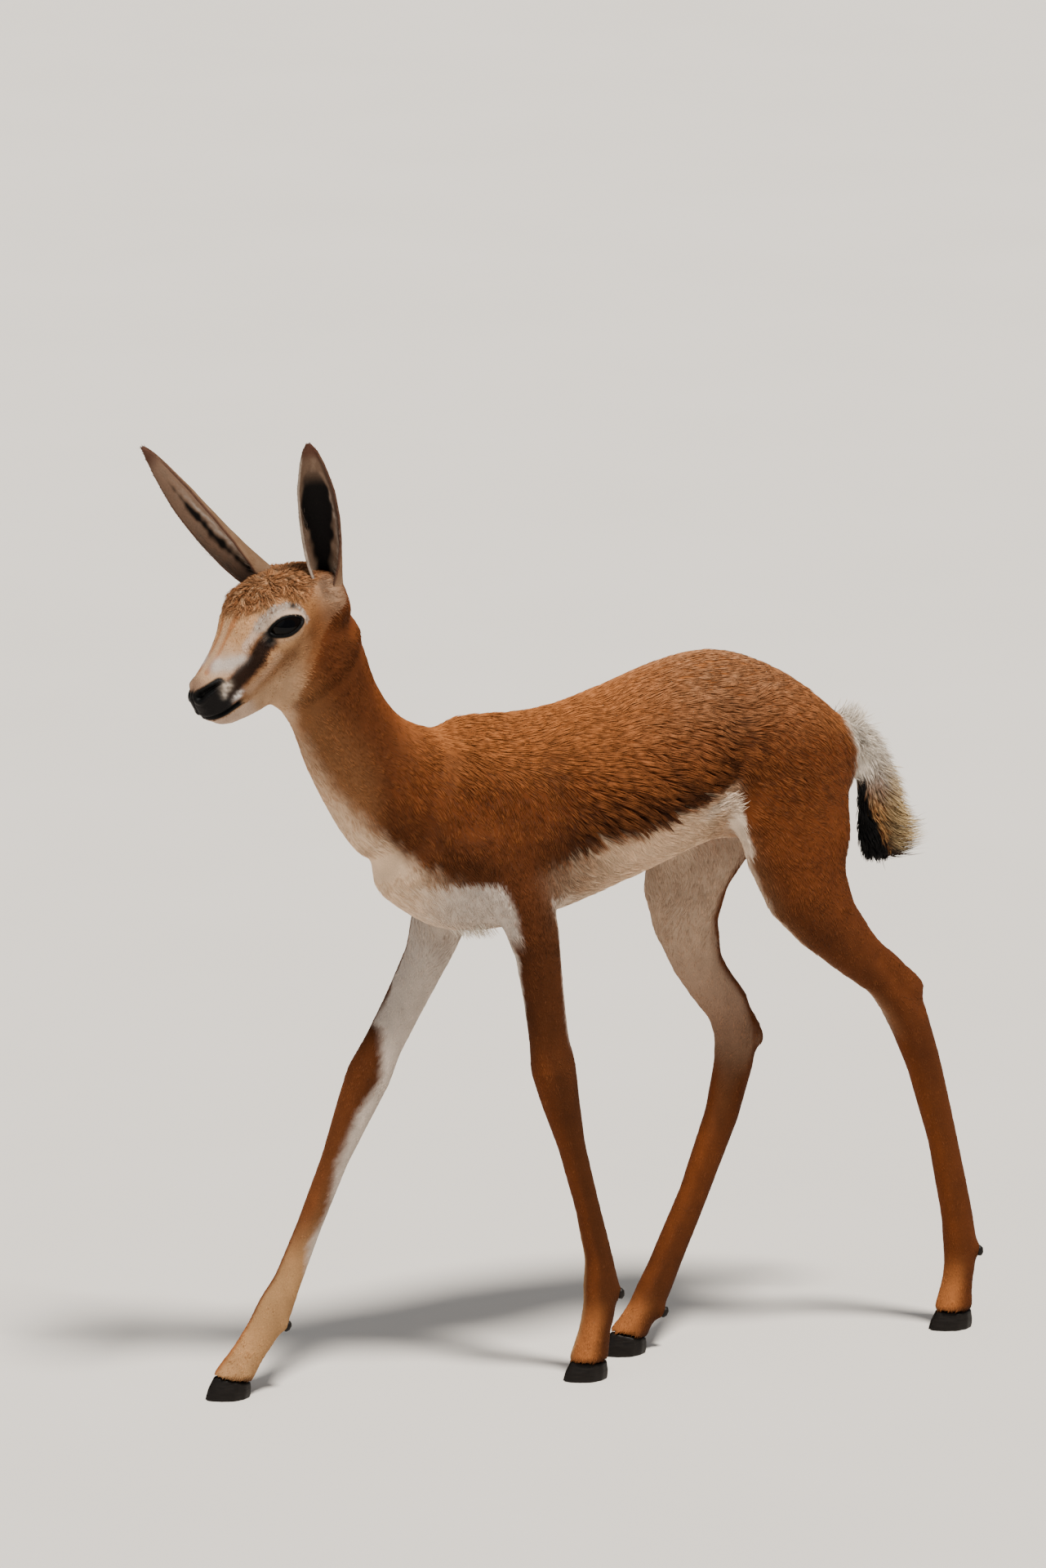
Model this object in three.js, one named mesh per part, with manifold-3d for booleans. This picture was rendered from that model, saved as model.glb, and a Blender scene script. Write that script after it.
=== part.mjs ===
// A springbok lamb a few weeks old, walking, at life size in millimetres.
// Z is up from the floor. The nose points to -X and the lamb's left side is -Y.
// The origin is on the floor under the middle of the body.
// Places are given as [ahead, left, up], which is how a walking animal is measured.

import * as THREE from 'three';
import { LoftGeometry } from 'three/addons/geometries/LoftGeometry.js';
import { mergeVertices } from 'three/addons/utils/BufferGeometryUtils.js';
import Module from 'manifold-3d';

const wasm = await Module();
wasm.setup();

// Driving dimensions
const GAP = 0.3;
const EYE_RADIUS = 15.5;
const EYE_ALONG = -4;
const EYE_ABOVE = -6;
const EYE_SPREAD = 22.5;
const EYES_MIDDLE = [291, 3, 624];
const HEAD_PITCH = 40;
const HEAD_YAW = 10;
const HOOF_LENGTH = 37;
const CLAW_GAP = 1.4;
const CLAW_WIDTH = 12.6;
const CORONET_LEVEL = 0.6;
const SETTLE_LENGTH = 0.5;
const DEWCLAW = { radius: 3.4, length: 5, spread: 6.2, back: 14.2, below: 9 };

// Rings round each part
const TRUNK_SIDES = 24;
const NECK_SIDES = 20;
const HEAD_SIDES = 24;
const UPPER_LEG_SIDES = 16;
const LOWER_LEG_SIDES = 10;
const TAIL_SIDES = 10;
const EAR_POINTS = 7;

// Trunk from breast to tail: ahead, top, bottom, level of greatest width, half width, ridge.
// A ridge of 1 is a round back, and above 1 the back narrows upwards.
const TRUNK = [
  [197, 436, 407, 421, 11, 1],
  [190, 458, 397, 424, 24, 1],
  [174, 496, 384, 432, 36, 1],
  [150, 526, 370, 440, 46, 1.15],
  [122, 535, 364, 446, 52, 1.25],
  [86, 534, 364, 446, 55, 1.25],
  [45, 536, 374, 450, 59, 1.1],
  [0, 547, 387, 462, 61, 1.05],
  [-45, 561, 401, 478, 58, 1.05],
  [-86, 566, 413, 488, 54, 1.05],
  [-126, 555, 409, 480, 53, 1],
  [-162, 534, 411, 468, 50, 1],
  [-188, 512, 424, 464, 40, 1],
  [-203, 500, 442, 470, 25, 1],
  [-210, 492, 458, 474, 12, 1],
];

// Neck from trunk to head: nape (ahead, up), throat (ahead, up), half width.
const NECK = [
  [128, 520, 176, 408, 42],
  [162, 534, 213, 434, 37],
  [180, 546, 236, 468, 33],
  [198, 575, 255, 506, 31],
  [211, 614, 268, 540, 30.5],
  [233, 649, 290, 566, 25],
];
const NECK_LEAN = 2;

// Head in its own axes, from poll to nose: along, top, bottom, level of width, half width, squareness.
const HEAD = [
  [-66, -3, -24, -12, 12, 1],
  [-58, 5.5, -38, -11, 22, 1],
  [-42, 15.5, -49, -7, 29, 1],
  [-22, 26.5, -55, -4, 33, 1],
  [-2, 33.5, -56, -1, 34, 1],
  [14, 28.5, -54, -4, 31, 1],
  [29, 19, -55, -9, 25.5, 0.95],
  [44, 14, -50.5, -13, 21, 0.9],
  [58, 11.5, -44.5, -15, 18.5, 0.88],
  [69, 9.5, -39, -14, 17, 0.88],
  [77, 6, -33, -13, 14.5, 0.9],
  [82, 0, -24, -12, 10, 1],
  [84.5, -6, -17, -11, 4, 1],
];

// Swellings on both sides of the head: along, out, above, then radii along, out and above.
const HEAD_SWELLS = {
  brow: [-8, 20, 9, 17, 13.5, 12],
  cheek: [-14, 16, -27, 26, 13, 18],
  nostril: [69, 6, 0.5, 12, 7, 6.5],
};

// Ears: base and tip, the way the opening faces, how far the cup leans back in the middle,
// and the seat of the root in the head's own axes.
const EARS = {
  left: {
    base: [235, 10, 633],
    tip: [268, 40, 766],
    faces: [0.62, 0.78, -0.1],
    bow: 2,
    seat: [-40, 5, -10],
  },
  right: {
    base: [253, -17, 636],
    tip: [355, -74, 749],
    faces: [0.8, 0.4, -0.25],
    bow: -12,
    seat: [-36, -6, -8],
  },
};
const EAR_THICK = 3.4;
// Root of the ear from its seat up into the tube: joint and part way on, then half size.
const EAR_ROOT = [
  [0, 9],
  [0.5, 13.5],
  [1, 12.5],
  [1.5, 11],
  [2, 8],
];
const EAR_ROOT_TOP = 16;
// Along the ear: place from base to tip, half width unrolled, half angle of the roll in degrees.
const EAR_CUP = [
  [0, 36, 165],
  [0.12, 33, 142],
  [0.27, 27.5, 108],
  [0.4, 25, 86],
  [0.54, 23, 74],
  [0.7, 20, 66],
  [0.86, 13, 58],
  [0.94, 8, 50],
  [1, 2.5, 40],
];

// Fore legs: shoulder blade, shoulder, elbow, knee, fetlock, coronet.
const FORE_PATHS = {
  left: [[112, 24, 496], [118, 34, 444], [86, 37, 388], [61, 32, 256], [18, 26, 76], [27, 24, 15]],
  right: [[116, -24, 494], [128, -33, 440], [124, -34, 374], [185, -38, 247], [262, -46, 68], [297, -48, 15]],
};
// Fore leg: joint number and part way on, then half sizes to the front, back and side.
const FORE_GIRTH = [
  [0, 20, 20, 11],
  [0.5, 34, 32, 17],
  [1, 42, 40, 20],
  [1.5, 36, 35, 19.5],
  [2, 26, 26, 17.5],
  [2.3, 19.2, 19.2, 15.4],
  [2.6, 17, 17.2, 14],
  [2.84, 16.6, 16.6, 13.8],
  [3, 19.2, 18.6, 15.6],
  [3.14, 16.8, 16.2, 14],
  [3.35, 12.2, 11, 11],
  [3.62, 10.8, 10, 10],
  [3.86, 11, 12.5, 11],
  [4, 14.4, 15.5, 12.8],
  [4.28, 13.4, 14.2, 12.6],
  [4.6, 13, 13, 12.8],
  [5, 16.6, 16.2, 14.4],
];
const FORE_CUTS = [2.3, 3.14, 4.28];

// Hind legs: hip, thigh, stifle, gaskin, hock, fetlock, coronet.
const HIND_PATHS = {
  left: [
    [-126, 28, 506], [-136, 37, 440], [-151, 40, 376], [-194, 38, 322], [-234, 35, 280],
    [-295, 25, 70], [-292, 22, 15],
  ],
  right: [
    [-120, -28, 506], [-106, -38, 440], [-86, -42, 366], [-98, -42, 304], [-129, -38, 243],
    [-51, -27, 45], [-30, -24, 15],
  ],
};
const HIND_GIRTH = [
  [0, 28, 30, 15],
  [0.5, 44, 48, 20],
  [1, 48, 56, 22],
  [1.5, 43, 51, 22],
  [2, 35, 38, 20.5],
  [2.5, 28, 27, 17.5],
  [3, 22, 21, 14.5],
  [3.3, 19.5, 20, 13],
  [3.65, 18, 20, 12.6],
  [4, 18, 20, 14.2],
  [4.14, 17, 17, 13.6],
  [4.32, 14, 15.4, 12.2],
  [4.58, 12, 13.4, 11],
  [4.86, 12.6, 14.4, 11.6],
  [5, 13.6, 15.4, 12.6],
  [5.28, 13, 14, 12.4],
  [5.6, 12.8, 12.8, 12.6],
  [6, 16.4, 16, 14.2],
];
const HIND_CUTS = [2.5, 4.14, 5.28];
const HOCK_POINT = { back: 14, radius: 10.5, tendon: 8 };

// Tail: ahead, left, up along its middle, then half sizes to the front, back and side.
const TAIL_PATH = [[-203, 0, 497], [-219, 0, 478], [-228, -1, 440], [-231, -1, 404], [-237, -1, 383]];
const TAIL_GIRTH = [
  [0, 9, 9, 9],
  [0.5, 11, 11, 10],
  [1, 12, 13, 9.5],
  [2, 15, 18, 8.5],
  [3, 17, 19, 7.5],
  [3.6, 16, 15, 6.5],
  [4, 7, 7, 3],
];

// Cuts that part the body, each a box. The head's and neck's start at "from" and reach ahead,
// turned up by "pitch". The limbs' start at "inner" from the middle and lean out by "tilt".
const HEAD_CUT = { size: [200, 180, 240], from: [258, 2, 596], pitch: 24 };
const NECK_CUT = { size: [200, 180, 340], from: [186, 0, 483], pitch: 27 };
const ARM_CUT = { size: [116, 90, 190], inner: 15, level: 395, tilt: 12, ahead: { left: 108, right: 124 } };
const THIGH_CUT = {
  size: [138, 90, 200],
  inner: 14,
  level: 400,
  tilt: 11,
  ahead: { left: -152, right: -118 },
};

const COLOURS = {
  coat: 0x9c5a2c,
  leg: 0x7d4522,
  ear: 0x8b7565,
  tail: 0xd9b98c,
  horn: 0x17130f,
  eye: 0x0b0908,
};
const ROUGHNESS = { coat: 0.85, leg: 0.8, ear: 0.85, tail: 0.9, horn: 0.45, eye: 0.08 };

// Vectors and interpolation
function place([ahead, left, up]) {
  return new THREE.Vector3(-ahead, -left, up);
}

function curveThrough(a, b, c, d, t) {
  const slopeIn = (c - a) / 2;
  const slopeOut = (d - b) / 2;
  const t2 = t * t;
  const t3 = t2 * t;
  return (2 * t3 - 3 * t2 + 1) * b + (t3 - 2 * t2 + t) * slopeIn
    + (3 * t2 - 2 * t3) * c + (t3 - t2) * slopeOut;
}

// Rows of sizes, with rows added between them on smooth curves.
function smoothRows(rows, steps) {
  const last = rows.length - 1;
  const out = [];
  for (let i = 0; i < last; i++) {
    const before = rows[Math.max(i - 1, 0)];
    const after = rows[Math.min(i + 2, last)];
    for (let k = 0; k < steps; k++) {
      const next = rows[i + 1];
      out.push(rows[i].map((value, c) => curveThrough(before[c], value, next[c], after[c], k / steps)));
    }
  }
  out.push(rows[last]);
  return out;
}

function signedPower(value, power) {
  return Math.sign(value) * Math.abs(value) ** power;
}

// One ring of a loft: upper and lower half sizes along "first", half width across it.
function ring({ centre, tangent, first, upper, lower, side, ridge = 1, square = 1, count }) {
  const axis = tangent.clone().normalize();
  const up = first.clone().addScaledVector(axis, -first.dot(axis)).normalize();
  const across = new THREE.Vector3().crossVectors(axis, up);
  const points = [];
  for (let j = 0; j < count; j++) {
    const angle = (j / count) * 2 * Math.PI;
    const rise = signedPower(Math.cos(angle), square);
    const reach = signedPower(Math.sin(angle), rise > 0 ? square * ridge : square);
    points.push(centre.clone()
      .addScaledVector(up, rise * (rise > 0 ? upper : lower))
      .addScaledVector(across, reach * side));
  }
  return points;
}

// Solids
function toSolid(geometry) {
  const bare = new THREE.BufferGeometry().copy(geometry);
  bare.deleteAttribute('normal');
  bare.deleteAttribute('uv');
  const merged = mergeVertices(bare, 1e-4);
  return new wasm.Manifold(new wasm.Mesh({
    numProp: 3,
    vertProperties: new Float32Array(merged.attributes.position.array),
    triVerts: new Uint32Array(merged.index.array),
  }));
}

function loft(rings) {
  return toSolid(new LoftGeometry(rings, { capStart: true, capEnd: true }));
}

function ball(centre, radii, turn = null, columns = 12, rows = 8) {
  const geometry = new THREE.SphereGeometry(1, columns, rows);
  geometry.scale(...radii);
  if (turn) geometry.applyQuaternion(turn);
  geometry.translate(centre.x, centre.y, centre.z);
  return toSolid(geometry);
}

function toGeometry(solid) {
  const mesh = solid.getMesh();
  const geometry = new THREE.BufferGeometry();
  geometry.setAttribute('position', new THREE.BufferAttribute(mesh.vertProperties, 3));
  geometry.setIndex(new THREE.BufferAttribute(mesh.triVerts, 1));
  geometry.computeVertexNormals();
  return geometry;
}

// A cutting box with its middle at "centre", grown by "grow" on every side.
function box(size, centre, turn, grow = 0) {
  const geometry = new THREE.BoxGeometry(...size.map((s) => s + 2 * grow));
  geometry.applyQuaternion(turn);
  geometry.translate(centre.x, centre.y, centre.z);
  return toSolid(geometry);
}

function part(solid, size, centre, turn) {
  const inside = solid.intersect(box(size, centre, turn));
  const outside = solid.subtract(box(size, centre, turn, GAP));
  return [inside, outside];
}

// The trunk and neck
function trunkSolid(grow = 0) {
  const backwards = new THREE.Vector3(1, 0, 0);
  const upwards = new THREE.Vector3(0, 0, 1);
  const rings = smoothRows(TRUNK, 2).map(([ahead, top, bottom, level, side, ridge]) => ring({
    centre: place([ahead, 0, level]),
    tangent: backwards,
    first: upwards,
    upper: top - level + grow,
    lower: level - bottom + grow,
    side: side + grow,
    ridge,
    count: TRUNK_SIDES,
  }));
  return loft(rings);
}

function neckSolid(grow = 0) {
  const rows = smoothRows(NECK, 2);
  const rings = rows.map(([napeAhead, napeUp, throatAhead, throatUp, side], i) => {
    const lean = (NECK_LEAN * i) / rows.length;
    const nape = place([napeAhead, lean, napeUp]);
    const throat = place([throatAhead, lean, throatUp]);
    const first = nape.clone().sub(throat);
    return ring({
      centre: nape.clone().lerp(throat, 0.5),
      tangent: new THREE.Vector3().crossVectors(first, new THREE.Vector3(0, 1, 0)),
      first,
      upper: first.length() / 2 + grow,
      lower: first.length() / 2 + grow,
      side: side + grow,
      count: NECK_SIDES,
    });
  });
  return loft(rings);
}

// The head's own axes: along the face, above it and to its left, from the point between the eyes.
const headMiddle = place(EYES_MIDDLE);
const headTurn = new THREE.Quaternion().setFromEuler(new THREE.Euler(
  0,
  -THREE.MathUtils.degToRad(HEAD_PITCH),
  THREE.MathUtils.degToRad(HEAD_YAW),
  'ZYX',
));
const headAlong = new THREE.Vector3(-1, 0, 0).applyQuaternion(headTurn);
const headLeft = new THREE.Vector3(0, -1, 0).applyQuaternion(headTurn);
const headAbove = new THREE.Vector3(0, 0, 1).applyQuaternion(headTurn);

function onHead(along, left, above) {
  return headMiddle.clone()
    .addScaledVector(headAlong, along)
    .addScaledVector(headLeft, left)
    .addScaledVector(headAbove, above);
}

function headSolid(grow = 0) {
  const rings = smoothRows(HEAD, 1).map(([along, top, bottom, level, side, square]) => ring({
    centre: onHead(along, 0, level),
    tangent: headAlong,
    first: headAbove,
    upper: top - level + grow,
    lower: level - bottom + grow,
    side: side + grow,
    square,
    count: HEAD_SIDES,
  }));
  let solid = loft(rings);
  for (const side of [1, -1]) {
    for (const [along, left, above, ...radii] of Object.values(HEAD_SWELLS)) {
      const grown = radii.map((radius) => radius + grow);
      solid = solid.add(ball(onHead(along, side * left, above), grown, headTurn));
    }
  }
  return solid;
}

function eyeball(side, grow = 0) {
  const radius = EYE_RADIUS + grow;
  return ball(onHead(EYE_ALONG, side * EYE_SPREAD, EYE_ABOVE), [radius, radius, radius], headTurn, 14, 10);
}

// Ears: a cupped leaf, rolled into a tube near its base, on a solid root.
function earSolid({ base, tip, faces, bow, seat }) {
  const start = place(base);
  const axis = place(tip).sub(start);
  const length = axis.length();
  axis.normalize();
  const opening = place(faces);
  opening.addScaledVector(axis, -opening.dot(axis)).normalize();
  const across = new THREE.Vector3().crossVectors(opening, axis);
  const rings = smoothRows(EAR_CUP, 1).map(([along, half, degrees]) => {
    const roll = THREE.MathUtils.degToRad(degrees);
    const radius = half / roll;
    const thick = Math.min(EAR_THICK, radius * 0.7);
    const middle = start.clone()
      .addScaledVector(axis, along * length)
      .addScaledVector(opening, -radius * 0.6 - bow * Math.sin(Math.PI * along));
    const point = (share, reach) => {
      const angle = roll * share;
      return middle.clone()
        .addScaledVector(across, reach * Math.sin(angle))
        .addScaledVector(opening, radius - reach * Math.cos(angle));
    };
    const shares = Array.from({ length: EAR_POINTS }, (_, j) => (2 * j) / (EAR_POINTS - 1) - 1);
    const outer = shares.map((share) => point(share, radius));
    const inner = shares.toReversed().map((share) => point(share, radius - thick));
    return [...outer, ...inner];
  });
  const [, firstHalf, firstRoll] = EAR_CUP[0];
  const setBack = (0.4 * firstHalf) / THREE.MathUtils.degToRad(firstRoll);
  const foot = start.clone().addScaledVector(opening, setBack);
  const rootPath = [onHead(...seat), foot, foot.clone().addScaledVector(axis, EAR_ROOT_TOP)];
  const girth = EAR_ROOT.map(([joint, half]) => [joint, half, half, half]);
  return loft(rings).add(loft(legRings(rootPath, girth, 10).map(({ points }) => points)));
}

// Legs: rings round a smooth path, parted at the cuts. The last rings turn level by the share settle.
function legRings(path, girth, sides, grow = 0, settle = 0) {
  const curve = new THREE.CatmullRomCurve3(path, false, 'centripetal');
  const last = path.length - 1;
  const ahead = new THREE.Vector3(-1, 0, 0);
  const down = new THREE.Vector3(0, 0, -1);
  return smoothRows(girth, 1).map(([joint, front, back, side]) => {
    const centre = curve.getPoint(joint / last);
    const level = settle * Math.max(1 - (last - joint) / SETTLE_LENGTH, 0);
    const tangent = curve.getTangent(joint / last).lerp(down, level).normalize();
    const points = ring({
      centre,
      tangent,
      first: ahead,
      upper: front + grow,
      lower: back + grow,
      side: side + grow,
      count: sides,
    });
    return { joint, points, tangent, centre };
  });
}

function shifted({ points, tangent }, distance) {
  return points.map((point) => point.clone().addScaledVector(tangent, distance));
}

function legLength(rings, from, to) {
  const kept = rings.filter(({ joint }) => joint >= from && joint <= to);
  const sections = kept.map(({ points }) => points);
  if (from > 0) sections[0] = shifted(kept[0], GAP / 2);
  sections[sections.length - 1] = shifted(kept.at(-1), -GAP / 2);
  return loft(sections);
}

// The point of the hock, with the tendon that runs down to it behind the gaskin.
function hockPoint(path) {
  const curve = new THREE.CatmullRomCurve3(path, false, 'centripetal');
  const last = path.length - 1;
  const behind = (joint, distance) => {
    const tangent = curve.getTangent(joint / last);
    const back = new THREE.Vector3(1, 0, 0).addScaledVector(tangent, -tangent.x).normalize();
    return curve.getPoint(joint / last).addScaledVector(back, distance);
  };
  const high = behind(3.2, HOCK_POINT.tendon);
  const tip = behind(4, HOCK_POINT.back);
  const tangent = tip.clone().sub(high);
  const sizes = [[0, 10], [0.5, 9.5], [0.85, HOCK_POINT.radius], [1.12, HOCK_POINT.radius * 0.8], [1.22, 4]];
  return loft(sizes.map(([along, radius]) => ring({
    centre: high.clone().addScaledVector(tangent, along),
    tangent,
    first: new THREE.Vector3(-1, 0, 0),
    upper: radius,
    lower: radius,
    side: radius * 0.78,
    count: 10,
  })));
}

// A hoof claw: a flat sole on the floor, rising to the slanted coronet.
function clawSolid(coronet, side) {
  const { centre, tangent } = coronet;
  const ground = centre.clone().addScaledVector(tangent, -centre.z / tangent.z);
  const heel = ground.x * 0.35 + centre.x * 0.65;
  const sections = [[0, 1, 0], [0.45, 0.96, 0.4], [1, 0.8, 1]].map(([rise, size, lean]) => {
    const half = (HOOF_LENGTH / 2) * size;
    const middle = heel + (centre.x - heel) * lean - (1 - rise) * 3;
    const points = [];
    const count = 12;
    for (let j = 0; j < count; j++) {
      const angle = (j / count) * 2 * Math.PI;
      const along = Math.cos(angle);
      const outward = Math.max(Math.sin(angle), 0) * (1 - 0.35 * Math.max(along, 0));
      const x = middle - along * half;
      const inward = Math.min(Math.sin(angle), 0) * 0.01;
      const y = centre.y - side * (CLAW_GAP / 2 + outward * CLAW_WIDTH * size + inward);
      const tilt = tangent.x * (x - centre.x) + tangent.y * (y - centre.y);
      const top = centre.z - GAP * 1.6 - tilt / tangent.z;
      points.push(new THREE.Vector3(x, y, rise * top));
    }
    return side > 0 ? points : points.toReversed();
  });
  return loft(sections);
}

function dewclawSolid(fetlock, side, block) {
  const down = fetlock.tangent;
  const backwards = new THREE.Vector3(1, 0, 0).addScaledVector(down, -down.x).normalize();
  const centre = fetlock.centre.clone()
    .addScaledVector(backwards, DEWCLAW.back)
    .addScaledVector(down, DEWCLAW.below)
    .add(new THREE.Vector3(0, -side * DEWCLAW.spread, 0));
  const turn = new THREE.Quaternion().setFromUnitVectors(new THREE.Vector3(0, 0, -1), down);
  const radii = [DEWCLAW.radius, DEWCLAW.radius, DEWCLAW.length];
  return ball(centre, radii, turn, 7, 5).subtract(block);
}

// The whole lamb
const lamb = new THREE.Group();

function addPart(name, solid, finish) {
  const material = new THREE.MeshStandardMaterial({
    color: COLOURS[finish],
    roughness: ROUGHNESS[finish],
    metalness: 0,
  });
  const mesh = new THREE.Mesh(toGeometry(solid), material);
  mesh.name = name;
  lamb.add(mesh);
}

function addLowerLeg(name, path, girth, cuts, end) {
  const rings = legRings(path, girth, LOWER_LEG_SIDES, 0, CORONET_LEVEL);
  const grown = legRings(path, girth, LOWER_LEG_SIDES, GAP, CORONET_LEVEL);
  const [upperCut, jointCut, footCut] = cuts;
  const hind = path.length > 6;
  const upper = legLength(rings, upperCut, jointCut);
  addPart(`${name}_${hind ? 'gaskin' : 'forearm'}`, hind ? upper.add(hockPoint(path)) : upper, 'leg');
  addPart(`${name}_${hind ? 'hind' : 'fore'}_cannon`, legLength(rings, jointCut, footCut), 'leg');
  addPart(`${name}_${hind ? 'hind' : 'fore'}_pastern`, legLength(rings, footCut, end), 'leg');
  const coronet = rings.at(-1);
  const fetlock = rings.find(({ joint }) => joint === end - 1);
  const block = loft(grown.filter(({ joint }) => joint > jointCut).map(({ points }) => points));
  for (const [label, side] of [['left', 1], ['right', -1]]) {
    const foot = `${name}_${hind ? 'hind' : 'fore'}`;
    addPart(`${foot}_hoof_${label}`, clawSolid(coronet, side), 'horn');
    addPart(`${foot}_dewclaw_${label}`, dewclawSolid(fetlock, side, block), 'horn');
  }
}

function upperLeg(path, girth, cut) {
  return legLength(legRings(path, girth, UPPER_LEG_SIDES), 0, cut);
}

function partAhead(flesh, { size, from, pitch }) {
  const turn = new THREE.Quaternion().setFromAxisAngle(
    new THREE.Vector3(0, 1, 0),
    THREE.MathUtils.degToRad(pitch),
  );
  const centre = place(from).add(new THREE.Vector3(-size[0] / 2, 0, 0).applyQuaternion(turn));
  return part(flesh, size, centre, turn);
}

function partLimb(flesh, { size, inner, level, tilt, ahead }, name, side) {
  const turn = new THREE.Quaternion().setFromAxisAngle(
    new THREE.Vector3(1, 0, 0),
    THREE.MathUtils.degToRad(tilt * side),
  );
  const centre = place([ahead[name], side * inner, level])
    .add(new THREE.Vector3(0, (-side * size[1]) / 2, 0).applyQuaternion(turn));
  return part(flesh, size, centre, turn);
}

function addFlesh(sides) {
  let flesh = trunkSolid().add(neckSolid()).add(headSolid());
  for (const name of Object.keys(sides)) {
    flesh = flesh.add(upperLeg(FORE_PATHS[name].map(place), FORE_GIRTH, FORE_CUTS[0]));
    flesh = flesh.add(upperLeg(HIND_PATHS[name].map(place), HIND_GIRTH, HIND_CUTS[0]));
  }
  const [head, headless] = partAhead(flesh, HEAD_CUT);
  const [neck, body] = partAhead(headless, NECK_CUT);
  let trunk = body;
  for (const [name, side] of Object.entries(sides)) {
    const [arm, noArm] = partLimb(trunk, ARM_CUT, name, side);
    const [thigh, noThigh] = partLimb(noArm, THIGH_CUT, name, side);
    addPart(`${name}_arm`, arm, 'coat');
    addPart(`${name}_thigh`, thigh, 'coat');
    trunk = noThigh;
  }
  addPart('head', head.subtract(eyeball(1, GAP)).subtract(eyeball(-1, GAP)), 'coat');
  addPart('neck', neck, 'coat');
  addPart('trunk', trunk, 'coat');
}

function buildLamb() {
  const sides = { left: 1, right: -1 };
  addFlesh(sides);
  const headGrown = headSolid(GAP).add(neckSolid(GAP));
  for (const [name, side] of Object.entries(sides)) {
    addPart(`${name}_ear`, earSolid(EARS[name]).subtract(headGrown), 'ear');
    addPart(`${name}_eye`, eyeball(side), 'eye');
    addLowerLeg(name, FORE_PATHS[name].map(place), FORE_GIRTH, FORE_CUTS, 5);
    addLowerLeg(name, HIND_PATHS[name].map(place), HIND_GIRTH, HIND_CUTS, 6);
  }
  const tail = loft(legRings(TAIL_PATH.map(place), TAIL_GIRTH, TAIL_SIDES).map(({ points }) => points));
  addPart('tail', tail.subtract(trunkSolid(GAP)), 'tail');
}

buildLamb();

// The origin is on the floor, under the middle of the lamb's outline.
const middle = new THREE.Box3().setFromObject(lamb).getCenter(new THREE.Vector3());
lamb.position.set(-middle.x, -middle.y, 0);

export default lamb;
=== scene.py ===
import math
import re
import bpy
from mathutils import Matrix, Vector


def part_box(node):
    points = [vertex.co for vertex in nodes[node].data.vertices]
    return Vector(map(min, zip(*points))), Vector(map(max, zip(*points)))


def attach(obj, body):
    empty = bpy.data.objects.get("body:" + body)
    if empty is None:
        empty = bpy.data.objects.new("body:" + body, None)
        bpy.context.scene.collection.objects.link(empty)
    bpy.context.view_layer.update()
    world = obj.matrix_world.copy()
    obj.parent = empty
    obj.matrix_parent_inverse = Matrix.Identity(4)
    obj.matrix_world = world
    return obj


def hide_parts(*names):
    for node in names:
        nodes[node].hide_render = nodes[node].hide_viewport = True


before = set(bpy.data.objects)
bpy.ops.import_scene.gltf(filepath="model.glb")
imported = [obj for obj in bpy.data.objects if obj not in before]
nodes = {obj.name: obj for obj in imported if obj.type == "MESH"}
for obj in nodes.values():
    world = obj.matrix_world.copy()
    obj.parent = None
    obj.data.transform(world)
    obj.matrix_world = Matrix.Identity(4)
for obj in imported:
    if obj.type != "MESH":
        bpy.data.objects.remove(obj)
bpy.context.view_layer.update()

# %% [markdown]
# # A springbok lamb
# A young springbok stands as a museum model would, one fore foot well forward and the head raised.
# The frame holds plain solids for each part of the body. Here they become one smooth skin, with eyelids,
# nostrils and a mouth, then ears, eyes and hooves, and last the coat, in many thousand small tufts.

# %% Tools and the plain box
from types import SimpleNamespace

import bpy
import numpy as np
from mathutils import Matrix, Vector
from mathutils.kdtree import KDTree

MM = 0.001
print("frame nodes:", len(nodes))

# %% [markdown]
# ## Landmarks
# Faces are easiest to shape in the head's own axes: along the face, out to the left and above it. The two
# eyes of the frame give the place of those axes, and from there any place on the body can be named in
# millimetres ahead of the middle, to the left of it and up from the floor.

# %% Head and body places
HEAD_PITCH = math.radians(40)
HEAD_YAW = math.radians(10)
HEAD_PLACE = np.array([291, 3, 624])
SOLID_EYE_CENTRE = np.array([-4.0, 22.5, -6.0])
EYE_CENTRE = SOLID_EYE_CENTRE + [-1.6, 0, 1.7]
BODY_SIGNS = np.array([-1, -1, 1])


def node_middle(node):
    low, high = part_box(node)
    return (np.array(low) + np.array(high)) / 2


head_along = -np.array([
    math.cos(HEAD_PITCH) * math.cos(HEAD_YAW),
    math.cos(HEAD_PITCH) * math.sin(HEAD_YAW),
    math.sin(HEAD_PITCH),
])
head_left = np.array([math.sin(HEAD_YAW), -math.cos(HEAD_YAW), 0])
head_axes = np.array([head_along, head_left, np.cross(head_along, head_left)])
eyes_middle = (node_middle("left_eye") + node_middle("right_eye")) / 2
head_origin = eyes_middle - SOLID_EYE_CENTRE * [1, 0, 1] * MM @ head_axes
body_origin = head_origin - BODY_SIGNS * HEAD_PLACE * MM


def on_head(points):
    return (points - head_origin) @ head_axes.T / MM


def from_head(places):
    return head_origin + np.asarray(places, dtype=float) * MM @ head_axes


def body_places(points):
    return (points - body_origin) / MM * BODY_SIGNS


def heading(ahead, left, up):
    return BODY_SIGNS * np.array([ahead, left, up], dtype=float)


def place(ahead, left, up):
    return body_origin + heading(ahead, left, up) * MM


print("between the eyes:", head_origin.round(4))

# %% [markdown]
# ## The view
# The camera stands a little ahead of the lamb's left side and looks slightly down, from far enough away
# that near and far legs keep their true lengths. The lens follows from the height that the frame covers.

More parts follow.
